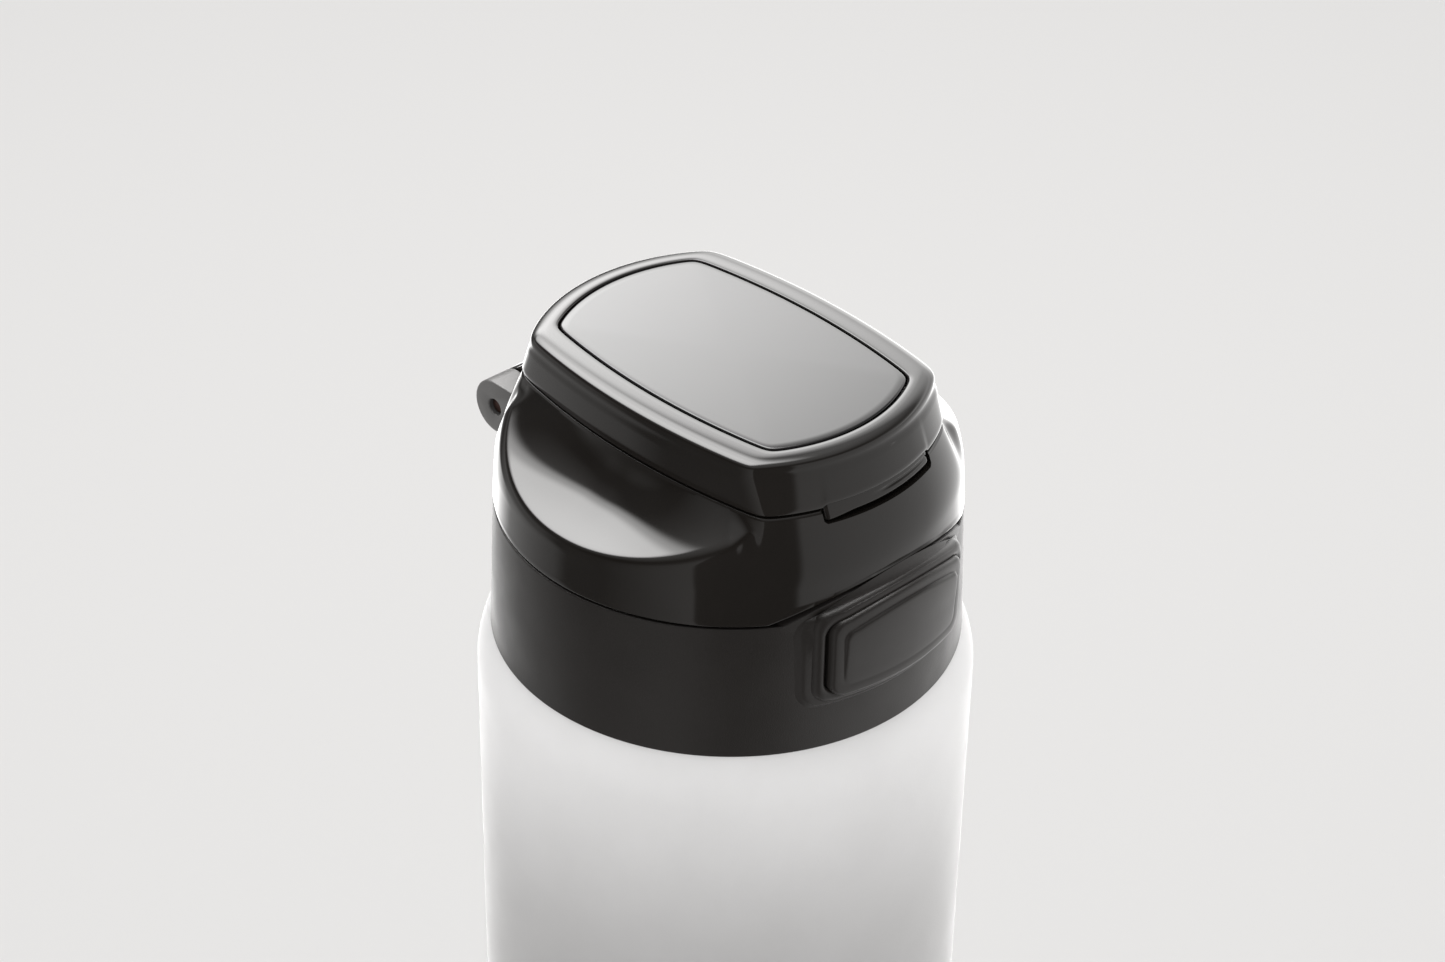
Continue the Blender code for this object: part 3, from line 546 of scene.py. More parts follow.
def build_brow():
    """The collar's upper edge rising under the dome's arch."""
    outline = arched(BROW_HALF, BROW_LOW, BROW_TOP, BROW_ARCH, 0.6, across=48)
    rings = [on_cylinder(outline, 32.4), on_cylinder(outline, COLLAR_TOP_R - 0.2)]
    for share, r in ((0.02, COLLAR_TOP_R), (0.3, COLLAR_TOP_R + 0.02), (0.7, 33.65), (0.999, 33.7)):
        rings.append(on_cylinder(contracted(outline, share, 18.5, 15.0), r))
    ob = mesh_object("collar_brow", [grid(rings)])
    carve(ob, [window_cutter(-28)])
    piece(ob, MATTE, "cap")


def build_frame():
    """Rounded frame between the surround and the button."""
    def ring(inset, radius):
        return on_cylinder(arched(BEZEL_HALF - inset, BEZEL_LOW + inset, BEZEL_TOP - inset,
                                  BUTTON_ARCH, BEZEL_CORNER - inset * 0.35), radius)

    rings = [ring(0, 33.9), ring(0, 34.55), ring(0.12, 34.85), ring(0.35, 35.12),
             ring(0.7, BEZEL_R - 0.03), ring(1.0, BEZEL_R), ring(1.25, BEZEL_R - 0.04),
             ring(1.5, 35.05), ring(1.64, 34.7), ring(1.68, 33.9)]
    ob = mesh_object("button_frame", [grid(rings, loop=True)], 60)
    piece(ob, SATIN, "cap", ["button_bezel"])


def build_pocket():
    """Floor of the button's pocket, deep enough for the pressed button."""
    outline = arched(BEZEL_HALF - LAP, BEZEL_LOW + LAP, BEZEL_TOP - LAP, BUTTON_ARCH, POCKET_CORNER)
    rings = [on_cylinder(contracted(outline, share, POCKET_MID, POCKET_REACH), POCKET_R)
             for share in (0, 0.4, 0.8, 0.999)]
    inner = contracted(outline, 0.999, POCKET_MID, POCKET_REACH)
    rings.append(on_cylinder(inner, POCKET_R - 0.15))
    ob = mesh_object("pocket_floor", [grid(rings)])
    piece(ob, LINER, "cap")


def build_button():
    mid, reach = (BUTTON_LOW + BUTTON_TOP) / 2 + 0.5, 6.5

    def outline(inset):
        return arched(BUTTON_HALF - inset, BUTTON_LOW + inset, BUTTON_TOP - inset,
                      BUTTON_ARCH, 2.2 - inset * 0.45, across=48)

    def ring(inset, radius):
        return on_cylinder(outline(inset), radius)

    def pad_r(_, z):
        """The pad stands proud at its top and runs flush with the frame at its foot."""
        return BUTTON_R - 0.02 + PAD_RISE * smoothstep(BUTTON_LOW, BUTTON_TOP - 2.0, z)

    rings = [on_cylinder(contracted(outline(0), 0.999, mid, reach), BUTTON_BACK_R),
             ring(0, BUTTON_BACK_R), ring(0, BUTTON_R - 0.6), ring(0.08, BUTTON_R - 0.28),
             ring(0.25, BUTTON_R - 0.07), ring(0.5, BUTTON_R), ring(1.5, BUTTON_R),
             ring(1.66, BUTTON_R - 0.02)]
    for inset, depth in ((1.74, 0.30), (1.84, 0.10), (2.0, 0.02)):
        rings.append(ring(inset, lambda x, z, d=depth: max(pad_r(x, z) - d, BUTTON_R - 0.02)))
    rings.append(ring(PAD_INSET, pad_r))
    edge = outline(PAD_INSET)
    for share in (0.25, 0.5, 0.75, 0.999):
        rings.append(on_cylinder(contracted(edge, share, mid, reach), pad_r))
    ob = mesh_object("push_button", [grid(rings)], 55)
    piece(ob, SATIN, "button", ["button_cap"])


# ---------------------------------------------------------------- dome

def plain_r(seam, z):
    """Radius of the dome's skin where it isn't scooped: a bowed line from the belt to the seam."""
    t = (z - BELT_Z) / (SEAM_Z - BELT_Z)
    return (BELT_R * (1 - t) ** 3 + (BELT_R - 0.15) * 3 * t * (1 - t) ** 2
            + (seam + 1.3) * 3 * t * t * (1 - t) + seam * t ** 3)


def curve_points(a, corner, b, n):
    """Points of the curve from a to b that a corner pulls at, without its first one."""
    out = []
    for k in range(1, n + 1):
        t = k / n
        out.append(a * (1 - t) ** 2 + corner * 2 * t * (1 - t) + b * t * t)
    return out


def dome_skin(angle):
    """Skin of the dome at an angle, from the belt up to the lid's seam.

    Each side is scooped: a rolled edge, a sloping ledge and a hollow wall in one curve. Towards
    the front and the back the edge climbs, the hollow flattens and the ledge runs out.
    """
    seam = lid_radius(angle, SEAM_R, SEAM_HALF)
    off = degrees(atan2(abs(sin(angle)), abs(cos(angle))))
    scooped = smoothstep(SCOOP_START, SCOOP_FULL, BELT_R - seam)
    edge_z = min(EDGE_Z + EDGE_CLIMB * (off / EDGE_END) ** 2, EDGE_TOP)
    edge = Vector((plain_r(SEAM_R, edge_z), edge_z))
    top = Vector((seam, SEAM_Z - LIP))
    hollow = Vector((seam + (edge.x - seam) * HOLLOW_IN, edge.y + (top.y - edge.y) * HOLLOW_UP))
    hollow = hollow.lerp((edge + top) / 2, smoothstep(HOLLOW_DEEP, HOLLOW_FLAT, off))
    roll = min(EDGE_ROLL, (edge - hollow).length * 0.4)
    points = []
    for k in range(1, 13):
        z = BELT_Z + (edge_z - roll - BELT_Z) * k / 12
        points.append(Vector((plain_r(SEAM_R, z), z)))
    start = edge + (hollow - edge).normalized() * roll
    points += curve_points(points[-1], edge, start, 12)
    points += curve_points(start, hollow, top, 36)
    out = []
    for p in points:
        plain = plain_r(seam, p.y)
        out.append((plain + (p.x - plain) * scooped, p.y))
    return out


def dome_low(angle):
    """Lower edge of the dome: level, and arched over the button's surround."""
    x = DOME_LOW_R * cos(angle)
    if sin(angle) > 0 or abs(x) > BROW_HALF + GAP:
        return DOME_LOW
    return max(DOME_LOW, arch_z(x))


def dome_rings():
    """Rings of the dome: inside, lower lip, belt, scooped skin, top edge and the well under the lid."""
    inner_r, lip = DOME_LOW_R - 1.8, LIP
    rings = [[(inner_r * cos(a), inner_r * sin(a), BELT_Z) for a in ANGLES],
             [(inner_r * cos(a), inner_r * sin(a), dome_low(a)) for a in ANGLES]]
    for k in range(5):
        c = radians(-90 + 90 * k / 4)
        rings.append([((DOME_LOW_R - lip + lip * cos(c)) * cos(a),
                       (DOME_LOW_R - lip + lip * cos(c)) * sin(a),
                       dome_low(a) + lip + lip * sin(c)) for a in ANGLES])
    for k in range(1, 9):
        row = []
        for a in ANGLES:
            low = dome_low(a) + lip
            z = low + (BELT_Z - low) * k / 8
            r = DOME_LOW_R + (BELT_R - DOME_LOW_R) * (z - DOME_LOW) / (BELT_Z - DOME_LOW)
            row.append((r * cos(a), r * sin(a), z))
        rings.append(row)
    skins = [dome_skin(a) for a in ANGLES]
    for k in range(len(skins[0])):
        rings.append([(skin[k][0] * cos(a), skin[k][0] * sin(a), skin[k][1])
                      for a, skin in zip(ANGLES, skins)])
    for k in range(1, 5):
        c = radians(90 * k / 4)
        cut = LIP * (1 - cos(c))
        rings.append(lid_ring(SEAM_R - cut, SEAM_HALF - cut, SEAM_Z - LIP * (1 - sin(c))))
    rings.append(lid_ring(WELL_R + LIP, WELL_HALF + LIP, SEAM_Z))
    rings.append(lid_ring(WELL_R, WELL_HALF, SEAM_Z - LIP))
    for k in range(1, 5):
        rings.append(lid_ring(WELL_R, WELL_HALF, SEAM_Z - LIP + (WELL_FLOOR + 1.1 - SEAM_Z) * k / 4))
    for k in range(1, 5):
        c = radians(90 * k / 4)
        cut = WELL_CORNER * (1 - cos(c))
        rings.append(lid_ring(WELL_R - cut, WELL_HALF - cut, WELL_FLOOR + WELL_CORNER * (1 - sin(c))))
    for share in (0.75, 0.5, 0.25, 0.001):
        floor = lid_ring(WELL_R - WELL_CORNER, WELL_HALF - WELL_CORNER, WELL_FLOOR)
        rings.append(shrunk(floor, share))
    for share in (0.001, 0.5, 0.98):
        rings.append(shrunk(lid_ring(WELL_R, WELL_HALF, WELL_FLOOR - FLOOR_T), share))
    return rings


def build_dome():
    rings = dome_rings()
    ob = mesh_object("dome_cover", [grid(rings, loop=True)])
    hole = mesh_object("hole", [turned([(0, 27), (8.5, 27), (8.5, 31), (0, 31)], 96, SPOUT_Y)])
    slot = mesh_object("slot", [prism([(-4.6, -27.2), (4.6, -27.2), (4.6, -22.7), (-4.6, -22.7)],
                                      27, 31, "Z")])
    hinge = mesh_object("hinge", [prism([(27, 17), (40, 17), (40, HINGE_Z + BARREL_R + GAP),
                                         (27, HINGE_Z + BARREL_R + GAP)],
                                        -EAR_OUT - GAP, EAR_OUT + GAP, "X")])
    half, low = TAB_HALF + NOTCH_SIDE, TAB_LOW - NOTCH_UNDER
    notch = mesh_object("notch", [prism([(-half, 38), (-half, low + 0.4), (-half + 0.4, low),
                                         (half - 0.4, low), (half, low + 0.4), (half, 38)],
                                        -34, -NOTCH_BACK, "Y")])
    carve(ob, [hole, slot, hinge, notch])
    piece(ob, GLOSS, "cap", ["dome_shell"])

    # back wall of the notch, just behind the lid's tab
    wall = arc(0, 0, 28.0, -90 - 22.5, -90 + 22.5, 24) + arc(0, 0, 27.0, -90 + 23.5, -90 - 23.5, 24)
    ob = mesh_object("notch_wall", [prism(wall, TAB_LOW - 1.4, SEAM_Z - 0.2, "Z")])
    piece(ob, GLOSS, "cap")


# ---------------------------------------------------------------- lid

def build_lid():
    pocket = PLATE_TOP - 1.4 - GAP
    ceiling = pocket - LID_T

    def low_z(a):
        """The front's lower edge lifts over the finger tab."""
        x = SEAM_R * cos(a)
        if sin(a) > 0:
            return LID_LOW
        return LID_LOW + 0.45 * (1 - smoothstep(TAB_HALF - 0.3, TAB_HALF + 0.1, abs(x)))

    def wall(t):
        """Outline of the wall from the lower edge (t 0) to the rim's fillet (t 1)."""
        return (SEAM_R - 0.05 + (LID_TOP_R + 0.35 - SEAM_R + 0.05) * t,
                SEAM_HALF + (LID_TOP_HALF + 0.1 - SEAM_HALF) * t)

    rings = [lid_ring(26.6 * 0.001, LID_TOP_HALF * 0.001, ceiling),
             lid_ring(26.0, LID_TOP_HALF - 2.2, ceiling),
             lid_ring(26.6, LID_TOP_HALF - 1.9, ceiling - 0.4),
             lid_ring(SEAM_R - 1.9, SEAM_HALF - 1.8, lambda a: low_z(a) + 0.15),
             lid_ring(SEAM_R - 1.7, SEAM_HALF - 1.6, low_z),
             lid_ring(SEAM_R - 0.4, SEAM_HALF - 0.35, low_z)]
    for k in range(1, 5):
        c = radians(90 * k / 4)
        rings.append(lid_ring(SEAM_R - 0.4 + 0.33 * sin(c), SEAM_HALF - 0.35 + 0.33 * sin(c),
                              lambda a, c=c: low_z(a) + 0.3 * (1 - cos(c))))
    rim_z = LID_TOP - RIM_DROP
    for k in range(1, 15):
        t = k / 14
        r, half = wall(t)
        crease = 0.10 * (1 - smoothstep(0.80, 0.90, t))
        rings.append(lid_ring(r + crease - 0.02, half + crease - 0.02,
                              lambda a, t=t: low_z(a) + 0.35 + (rim_z - low_z(a) - 0.35) * t))
    r, half = wall(1.0)
    lip_r, lip_half = PLATE_R + GAP + RIM_EDGE, PLATE_HALF + GAP + RIM_EDGE
    for k in range(1, 33):
        c = radians(90 * (1 - k / 32))
        out = sin(c) ** RIM_POWER
        rings.append(lid_ring(lip_r + (r - lip_r) * out, lip_half + (half - lip_half) * out,
                              rim_z + (LID_TOP - rim_z) * cos(c) ** RIM_POWER))
    for k in range(1, 5):
        c = radians(90 * k / 4)
        grow = GAP + RIM_EDGE * (1 - sin(c))
        rings.append(lid_ring(PLATE_R + grow, PLATE_HALF + grow, LID_TOP - RIM_EDGE * (1 - cos(c))))
    rings.append(lid_ring(PLATE_R + GAP, PLATE_HALF + GAP, pocket))
    rings.append(lid_ring(0.03, 0.02, pocket))
    ob = mesh_object("lid_shell", [grid(rings, loop=True)], 45)
    piece(ob, GLOSS, "lid", ["flip_lid"])


def build_plate():
    """Inlaid plate, gently crowned."""
    top, edge, crown = PLATE_TOP, PLATE_EDGE, PLATE_CROWN
    rings = [lid_ring(0.03, 0.02, top - PLATE_T), lid_ring(PLATE_R - 0.2, PLATE_HALF - 0.2, top - PLATE_T),
             lid_ring(PLATE_R, PLATE_HALF, top - 1.0)]
    for k in range(6):
        c = radians(90 * k / 5)
        cut = edge * (1 - cos(c))
        rings.append(lid_ring(PLATE_R - cut, PLATE_HALF - cut, top - crown - edge * (1 - sin(c))))
    for k in range(1, 25):
        share = max(1 - k / 24, 0.001)
        rings.append([(x * share, y * share, top - crown * share ** 2)
                      for x, y, _ in lid_ring(PLATE_R - edge, PLATE_HALF - edge, top)])
    ob = mesh_object("top_plate", [grid(rings)], 45)
    piece(ob, PLATE, "lid", ["lid_plate"])


def build_tab():
    """Finger tab under the lid's front edge, with a shallow groove towards one end."""
    rows, cols = 22, 90
    low, high = TAB_LOW, LID_LOW + 1.25
    rings = []
    for i in range(cols + 1):
        x = -TAB_HALF + 2 * TAB_HALF * i / cols
        end = smoothstep(0, 0.45, TAB_HALF - abs(x))
        foot = low + TAB_LIFT * smoothstep(-TAB_HALF, -TAB_HALF + 5, x)
        ring = []
        for j in range(rows + 1):
            z = foot + (high - foot) * j / rows
            lean = (z - LID_LOW) * TAB_LEAN
            r = SEAM_R - 0.14 - lean - 0.35 * (1 - end)
            r -= 0.14 * (1 - smoothstep(0, 0.22, z - foot))
            r -= 0.20 * smoothstep(-3, 2, x) * (1 - smoothstep(0.5, 2.5, abs(j - 8)))
            ring.append((x, -sqrt(r * r - x * x), z))
        ring += [(x, -NOTCH_BACK, high), (x, -NOTCH_BACK, foot)]
        rings.append(ring)
    ob = mesh_object("finger_tab", [grid(rings, cap_first=True, cap_last=True)], 50)
    piece(ob, GLOSS, "lid")


def build_arm():
    """Hinge arm behind the lid with its knuckle, both slotted for the coil."""
    back = [(28.4, 40.6), (28.4, 37.3), (30.8, 37.1), (32.25, 33.6), (33.5, 30.3), (33.9, 26.0),
            (35.0, 22.5), (40.6, 24.5), (38.6, 26.4), (36.9, 27.6), (35.2, 29.6), (34.0, 32.6),
            (32.6, 36.0), (30.5, 39.4), (29.3, 40.6)]
    arm = mesh_object("hinge_arm", [prism(rounded_profile(back, 1.0, 4, True),
                                          -KNUCKLE_HALF, KNUCKLE_HALF, "X")])
    barrel = arc(HINGE_Y, HINGE_Z, KNUCKLE_R, 0, 352.5, 47)
    knuckle = mesh_object("hinge_knuckle", [prism(barrel, -KNUCKLE_HALF, KNUCKLE_HALF, "X")])
    for ob in (arm, knuckle):
        bore = arc(HINGE_Y, HINGE_Z, ARM_BORE_R, 0, 345, 23)
        cut = mesh_object("bore", [prism(bore, -14, 14, "X")])
        coil_room = arc(HINGE_Y, HINGE_Z, COIL_SLOT_R, 0, 345, 23)
        slot = mesh_object("slot", [prism(coil_room, -COIL_SLOT_HALF, COIL_SLOT_HALF, "X")])
        carve(ob, [cut, slot])
        rounded(ob, 0.25)
        piece(ob, GLOSS, "lid")


def build_ears():
    """The collar's hinge ears on both sides of the knuckle."""
    ear = [(31.4, 18.4), (31.4, HINGE_Z + BARREL_R)]
    ear += arc(HINGE_Y, HINGE_Z, BARREL_R, 90, -102, 40) + [(33.0, 18.4)]
    for side in (-1, 1):
        a, b = sorted((side * EAR_IN, side * EAR_OUT))
        ob = mesh_object("hinge_ear_left" if side < 0 else "hinge_ear_right",
                         [prism(ear, a, b, "X")])
        bore = arc(HINGE_Y, HINGE_Z, EAR_BORE_R, 0, 352.5, 47)
        carve(ob, [mesh_object("bore", [prism(bore, -14, 14, "X")])])
        rounded(ob, 0.3)
        piece(ob, EAR, "cap")


def build_liner():
    """Liner with a raised rim under the lid."""
    outline = [(0.001, 39.4), (0.55, 39.4), (0.92, 39.4), (0.935, 39.0), (0.975, 39.0), (1.0, 39.4),
               (0.995, 40.8), (0.001, 40.8)]
    rings = [shrunk(lid_ring(LINER_R, LINER_HALF, height), share) for share, height in outline]
    ob = mesh_object("under_liner", [grid(rings)])
    piece(ob, LINER, "lid", ["lid_liner"])


# ---------------------------------------------------------------- inner and small pieces

def build_soft_parts():
    """Mouthpiece with its ring and flow valve, the air valve behind it and the lid's plug."""
    rows = [("mouthpiece", SILICONE, "cap", "clear_silicone", "spout", SPOUT_Y, 0.6, 4, 128,
             [(4.5, 23.0), (6.6, 23.0), (6.6, 21.5), (9.6, 21.5), (9.6, 23.6), (8.2, 24.4),
              (8.2, 33.0), (7.7, 35.2), (7.9, 36.6), (7.2, SPOUT_TOP - 0.3), (6.2, SPOUT_TOP),
              (5.2, SPOUT_TOP - 0.1), (4.5, SPOUT_TOP - 0.9)]),
            ("mouthpiece_ring", GREY, "cap", "grey_silicone", "spout_grommet", SPOUT_Y, 0.3, 4, 128,
             [(8.5, 30.3), (10.4, 30.3), (10.2, 31.2), (8.5, 31.6)]),
            ("flow_valve", GREY, "cap", "grey_silicone", "spout_valve", SPOUT_Y, 0.2, 3, 96,
             [(0.9, 21.5), (6.2, 21.5), (6.2, 22.6), (4.0, 22.6), (3.0, 22.1), (0.9, 22.1)]),
            ("air_valve", GREY, "cap", "grey_silicone", "vent_valve", VENT_Y, 0.2, 3, 64,
             [(0, 22.3), (2.4, 22.0), (3.0, 21.5), (0.9, 21.5), (0.9, 18.4), (0, 18.4)]),
            ("lid_plug", GREY, "lid", "grey_silicone", "spout_seal", SPOUT_Y, 0.3, 4, 96,
             [(0, 39.1), (7.0, 39.1), (7.0, SPOUT_TOP + GAP), (3.7, SPOUT_TOP + GAP),
              (3.3, SPOUT_TOP - 1.0), (0, SPOUT_TOP - 1.0)])]
    for name, mat, body, slot, node, y, corner, steps, sides, profile in rows:
        hollow = profile[0][0] > 0
        section = rounded_profile(profile, corner, steps, hollow)
        ob = mesh_object(name, [turned(section, sides, y, hollow)])
        piece(ob, mat, body, [node])


def build_pin():
    pin = arc(HINGE_Y, HINGE_Z, PIN_R, 0, 352.5, 47)
    ob = mesh_object("pin", [prism(pin, PIN_LO.x * 1000, PIN_HI.x * 1000, "X")])
    rounded(ob, 0.2)
    piece(ob, BROWN, "cap", ["hinge_pin"])


def build_hook():
    outline = [(-26.3, 39.1), (-26.3, 26.8), (-25.8, 26.3), (-24.6, 26.3), (-23.9, 27.3),
               (-23.9, 27.6), (-24.8, 27.6), (-24.8, 37.7), (-22.1, 38.1), (-22.1, 39.1)]
    hook = mesh_object("hook", [prism(outline, -HOOK_HALF, HOOK_HALF, "X")])
    rounded(hook, 0.2)
    piece(hook, LINER, "lid", ["latch_hook"])


def wire(name, centre, radius, thick, turns, length, axis, body, node, legs=()):
    """Wire spring: a helix along X or Y with optional straight legs."""
    per_turn, sides = 36, 10
    place = {"X": lambda t, u, v: Vector((t, u, v)), "Y": lambda t, u, v: Vector((u, t, v))}[axis]
    pts = [Vector(centre) + place(length * i / (turns * per_turn),
                                  radius * cos(tau * i / per_turn + pi),
                                  radius * sin(tau * i / per_turn + pi))
           for i in range(turns * per_turn + 1)]
    if legs:
        pts = [pts[0] + Vector(legs[0])] + pts + [pts[-1] + Vector(legs[1])]
    along = place(1, 0, 0)
    rings = []
    for i, p in enumerate(pts):
        d = (pts[min(i + 1, len(pts) - 1)] - pts[max(i - 1, 0)]).normalized()
        u = (along - d * along.dot(d)).normalized()
        v = d.cross(u)
        rings.append([tuple(p + thick * (u * cos(tau * k / sides) + v * sin(tau * k / sides)))
                      for k in range(sides)])
    ob = mesh_object(name, [grid(rings, cap_first=True, cap_last=True)], 60)
    piece(ob, STEEL, body, [node])


def build_springs():
    wire("lid_spring", (-2.2, HINGE_Y, HINGE_Z), 2.9, 0.33, 4, 4.4, "X", "cap", "hinge_spring",
         ((0, 0, 3.9), (0, 0, -3.3)))
    for side, x in (("left", -11.0), ("right", 11.0)):
        wire(f"return_spring_{side}", (x, -21.0, 24.5), 1.5, 0.28, 5, 6.4, "Y", "button",
             f"button_spring_{side}")


def paint_latch():
    """The catch behind the button stays the CAD solid, in the liner's black."""
    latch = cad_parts["latch_slider"]
    latch.data.materials.clear()
    latch.data.materials.append(LINER)


# ---------------------------------------------------------------- studio

VIEW_AZ = radians(-44.586)              # direction of the camera's axis about the bottle
VIEW_UP, VIEW_YAW, VIEW_ROLL = radians(34.496), radians(0.128), radians(1.051)
VIEW_DISTANCE, VIEW_AIM, LENS = 0.478661, 0.209576, 83.66
PANEL_LIGHT, BOX_LIGHT, ROOM_LIGHT, ROOM_PEAK = 10.0, 11.0, 0.62, 5.0
SLANT_ACROSS, SLANT_UP, SLANT_FROM = 1.18, 0.59, 32.4   # the back panel's edge, and its height in degrees
BOX_AZ = radians(-30)
OVERHEAD_Z, OVERHEAD_BACK, OVERHEAD_AIM, OVERHEAD_SIZE, OVERHEAD_POWER = 1.1, 0.3, 0.25, 0.9, 5.6
FILL_ANGLE, FILL_AWAY, FILL_AIM, FILL_CONE, FILL_POWER = radians(50), 0.6, CAP_Z + 28, radians(14.6), 8.7
FLOOR_R, FLOOR_Z, FLOOR_SIDES = 3.0, -0.0002, 24
RIGHT = Vector((cos(VIEW_AZ), sin(VIEW_AZ), 0))
AHEAD = Vector((-sin(VIEW_AZ), cos(VIEW_AZ), 0))


def build_camera():
    cam = bpy.data.cameras.new("view")
    ob = bpy.data.objects.new("view", cam)
    bpy.context.scene.collection.objects.link(ob)
    turn = Matrix.Rotation(VIEW_AZ, 3, "Z")
    swing = Matrix.Rotation(VIEW_YAW, 3, "Z")
    forward = swing @ Vector((0, cos(VIEW_UP), -sin(VIEW_UP)))
    right = swing @ Vector((1, 0, 0))
    up = right.cross(forward)
    right, up = (cos(VIEW_ROLL) * right + sin(VIEW_ROLL) * up,
                 cos(VIEW_ROLL) * up - sin(VIEW_ROLL) * right)
    back = VIEW_DISTANCE * Vector((0, -cos(VIEW_UP), sin(VIEW_UP)))
    spot = turn @ back + Vector((0, 0, VIEW_AIM))
    axes = Matrix((turn @ right, turn @ up, -(turn @ forward))).transposed().to_4x4()
    ob.matrix_world = Matrix.Translation(spot) @ axes
    cam.sensor_width, cam.lens = 36.0, LENS
    cam.clip_start, cam.clip_end = 0.01, 50
    bpy.context.scene.camera = ob


def calc(nt, operation, a, b=None):
    """One step of arithmetic on node values or plain numbers."""
    node = nt.nodes.new("ShaderNodeMath")
    node.operation = operation
    for socket, v in zip(node.inputs, (a, b)):
        if isinstance(v, (int, float)):
            socket.default_value = v
        elif v is not None:
            nt.links.new(v, socket)
    return node.outputs[0]


def angle_of(nt, function, a, b=None):
    """An angle of the light's direction, in turns."""
    return calc(nt, "DIVIDE", calc(nt, function, a, b), tau)


def ramp(nt, angle, stops, smooth_steps=False):
    """Level at an angle in turns, by (degrees, level) stops."""
    node = nt.nodes.new("ShaderNodeValToRGB")
    node.color_ramp.interpolation = "EASE" if smooth_steps else "LINEAR"
    elements = node.color_ramp.elements
    while len(elements) > 1:
        elements.remove(elements[-1])
    elements[0].position = stops[0][0] / 360 + 0.5
    elements[0].color = (*[stops[0][1]] * 3, 1)
    for degree, level in stops[1:]:
        elements.new(degree / 360 + 0.5).color = (level, level, level, 1)
    nt.links.new(calc(nt, "ADD", angle, 0.5), node.inputs["Fac"])
    return node.outputs["Color"]


def room(nt, side, ahead, high):
    """Surroundings at table height, by the compass angle from straight ahead, right positive."""
    azimuth, pitch = angle_of(nt, "ARCTAN2", side, ahead), angle_of(nt, "ARCSINE", high)
    panels = [(-166, 0.06), (-165, 0.5), (-120, 0.1), (-98, 0.1), (-90, 0.4), (-50, 0.8), (-30, 3.0),
              (0, 4.8), (40, 1.9), (75, 1.0), (145, 0.6), (148, 0.06)]
    low = ramp(nt, azimuth, [(angle, level / ROOM_PEAK) for angle, level in panels])
    low = calc(nt, "MULTIPLY", low, ROOM_PEAK)
    fade = ramp(nt, pitch, [(-90, 1.0), (14, 1.0), (30, 0.12), (90, 0.1)])
    # the pale floor ends at the horizon on the left, and the dark room shows above it
    dark_side = ramp(nt, azimuth, [(-64, 0.0), (-50, 0.85), (-6, 0.92), (12, 0.0)])
    above = ramp(nt, pitch, [(-24, 0.0), (-13, 1.0)])
    keep = calc(nt, "SUBTRACT", 1.0, calc(nt, "MULTIPLY", dark_side, above))
    ceiling = ramp(nt, pitch, [(-90, 0.0), (40, 0.0), (60, 0.6), (90, 0.8)])
    return calc(nt, "ADD", calc(nt, "MULTIPLY", calc(nt, "MULTIPLY", low, fade), keep), ceiling)


def back_panel(nt, side, ahead, high):
    """Tall lit panel behind the set: it dims along a slanted edge, right of straight ahead."""
    across, upward = angle_of(nt, "ARCSINE", side), angle_of(nt, "ARCTAN2", high, ahead)
    over = calc(nt, "SUBTRACT", upward, SLANT_FROM / 360)
    slant = calc(nt, "ADD", calc(nt, "MULTIPLY", across, SLANT_ACROSS),
                 calc(nt, "MULTIPLY", over, SLANT_UP))
    edge = ramp(nt, slant, [(-7, 1.0), (0, 0.65), (8, 0.25), (60, 0.1)])
    band = ramp(nt, upward, [(10, 0.0), (22, 0.3), (30, 1.0), (35, 1.0), (45, 0.15), (110, 0.0)])
    left = ramp(nt, across, [(-40, 0.03), (-28, 0.2), (-15, 1.0), (90, 1.0)])
    return calc(nt, "MULTIPLY", calc(nt, "MULTIPLY", edge, band),
                calc(nt, "MULTIPLY", left, PANEL_LIGHT))


def soft_box(nt, beside, facing, high):
    """Upright soft box high on the left."""
    wide = ramp(nt, angle_of(nt, "ARCSINE", beside),
                [(-24, 0.0), (-12, 0.8), (0, 1.0), (14, 0.95), (19, 0.5), (24, 0.0)], True)
    tall = ramp(nt, angle_of(nt, "ARCTAN2", high, facing),
                [(30, 0.0), (38, 0.7), (46, 1.0), (76, 1.0), (84, 0.5), (92, 0.0)], True)
    return calc(nt, "MULTIPLY", calc(nt, "MULTIPLY", wide, tall), BOX_LIGHT)


def build_world():
    """Studio for reflections, and an even light for everything else."""
    world = bpy.data.worlds.new("studio")
    bpy.context.scene.world = world
    world.use_nodes = True
    nt = world.node_tree
    direction = nt.nodes.new("ShaderNodeTexCoord").outputs["Generated"]

    def along(axis):
        node = nt.nodes.new("ShaderNodeVectorMath")
        node.operation = "DOT_PRODUCT"
        nt.links.new(direction, node.inputs[0])
        node.inputs[1].default_value = axis
        return node.outputs["Value"]

    side, ahead, high = along(RIGHT), along(AHEAD), along(Vector((0, 0, 1)))
    facing = along(AHEAD * cos(BOX_AZ) + RIGHT * sin(BOX_AZ))
    beside = along(AHEAD * sin(BOX_AZ) - RIGHT * cos(BOX_AZ))
    lit = calc(nt, "MAXIMUM", back_panel(nt, side, ahead, high), soft_box(nt, beside, facing, high))
    total = calc(nt, "ADD", lit, room(nt, side, ahead, high))
    glossy = nt.nodes.new("ShaderNodeLightPath").outputs["Is Glossy Ray"]
    even = calc(nt, "MULTIPLY", ROOM_LIGHT, calc(nt, "SUBTRACT", 1.0, glossy))
    strength = calc(nt, "ADD", calc(nt, "MULTIPLY", total, glossy), even)
    out = nt.nodes["Background"]
    nt.links.new(strength, out.inputs["Strength"])
    out.inputs["Color"].default_value = (1.0, 0.992, 0.984, 1)


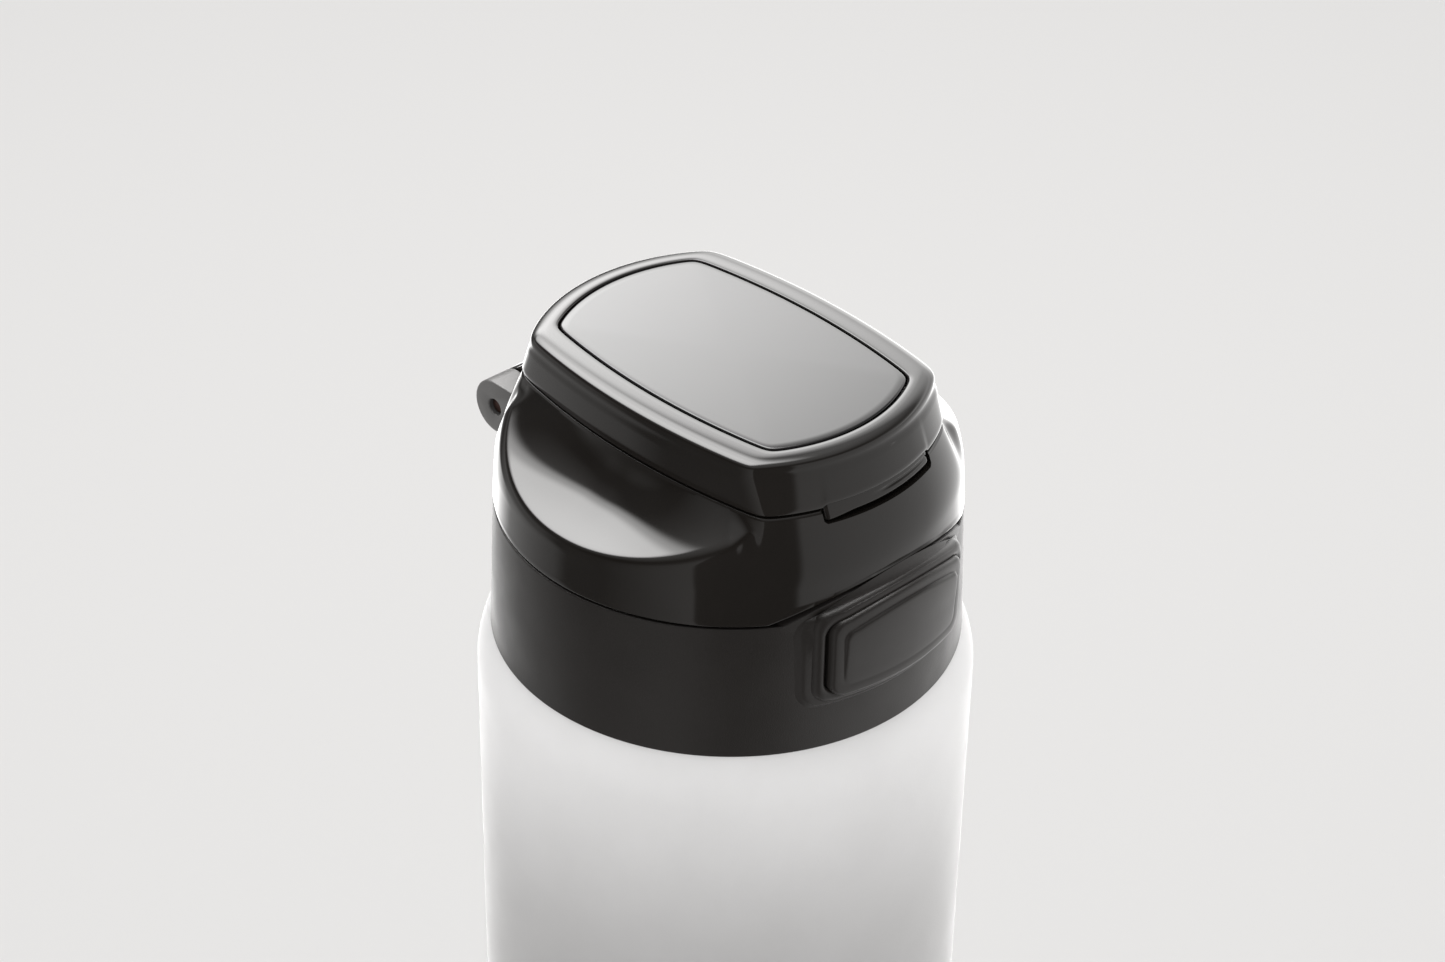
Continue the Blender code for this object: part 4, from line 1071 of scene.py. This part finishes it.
def build_floor():
    """Plain pale floor."""
    turns = [tau * i / FLOOR_SIDES for i in range(FLOOR_SIDES)]
    points = [(FLOOR_R * cos(a), FLOOR_R * sin(a), FLOOR_Z) for a in turns]
    me = bpy.data.meshes.new("floor")
    me.from_pydata(points, [], [tuple(range(FLOOR_SIDES))])
    floor = bpy.data.objects.new("floor", me)
    bpy.context.scene.collection.objects.link(floor)
    mat, _, bsdf = new_material("floor")
    bsdf.inputs["Base Color"].default_value = (0.8, 0.795, 0.79, 1)
    bsdf.inputs["Roughness"].default_value = 0.7
    bsdf.inputs["Specular IOR Level"].default_value = 0.0
    me.materials.append(mat)
    floor.visible_glossy = False


def place_light(name, data, spot, aim):
    """Put a light at a spot, pointing at its aim and unseen in reflections."""
    ob = bpy.data.objects.new(name, data)
    bpy.context.scene.collection.objects.link(ob)
    toward = (aim - spot).to_track_quat("-Z", "Y").to_matrix().to_4x4()
    ob.matrix_world = Matrix.Translation(spot) @ toward
    ob.visible_glossy = False


def build_lights():
    overhead = bpy.data.lights.new("overhead", "AREA")
    overhead.shape, overhead.size, overhead.energy = "DISK", OVERHEAD_SIZE, OVERHEAD_POWER
    spot = AHEAD * OVERHEAD_BACK + Vector((0, 0, OVERHEAD_Z))
    place_light("overhead", overhead, spot, AHEAD * OVERHEAD_AIM)
    aim = Vector((0, 0, FILL_AIM / 1000))
    for name, angle in (("fill_left", -FILL_ANGLE), ("fill_right", FILL_ANGLE)):
        fill = bpy.data.lights.new(name, "SPOT")
        fill.spot_size, fill.energy = FILL_CONE, FILL_POWER
        fill.spot_blend, fill.shadow_soft_size = 1.0, 0.02
        away = RIGHT * sin(angle) - AHEAD * cos(angle)
        place_light(name, fill, aim + away * FILL_AWAY, aim)


build_body()
build_gasket()
build_collar()
build_surround()
build_brow()
build_frame()
build_pocket()
build_button()
build_dome()
build_lid()
build_plate()
build_tab()
build_arm()
build_ears()
build_liner()
build_soft_parts()
build_pin()
build_hook()
build_springs()
paint_latch()
build_camera()
build_world()
build_floor()
build_lights()
bpy.context.scene.view_settings.view_transform = "Standard"
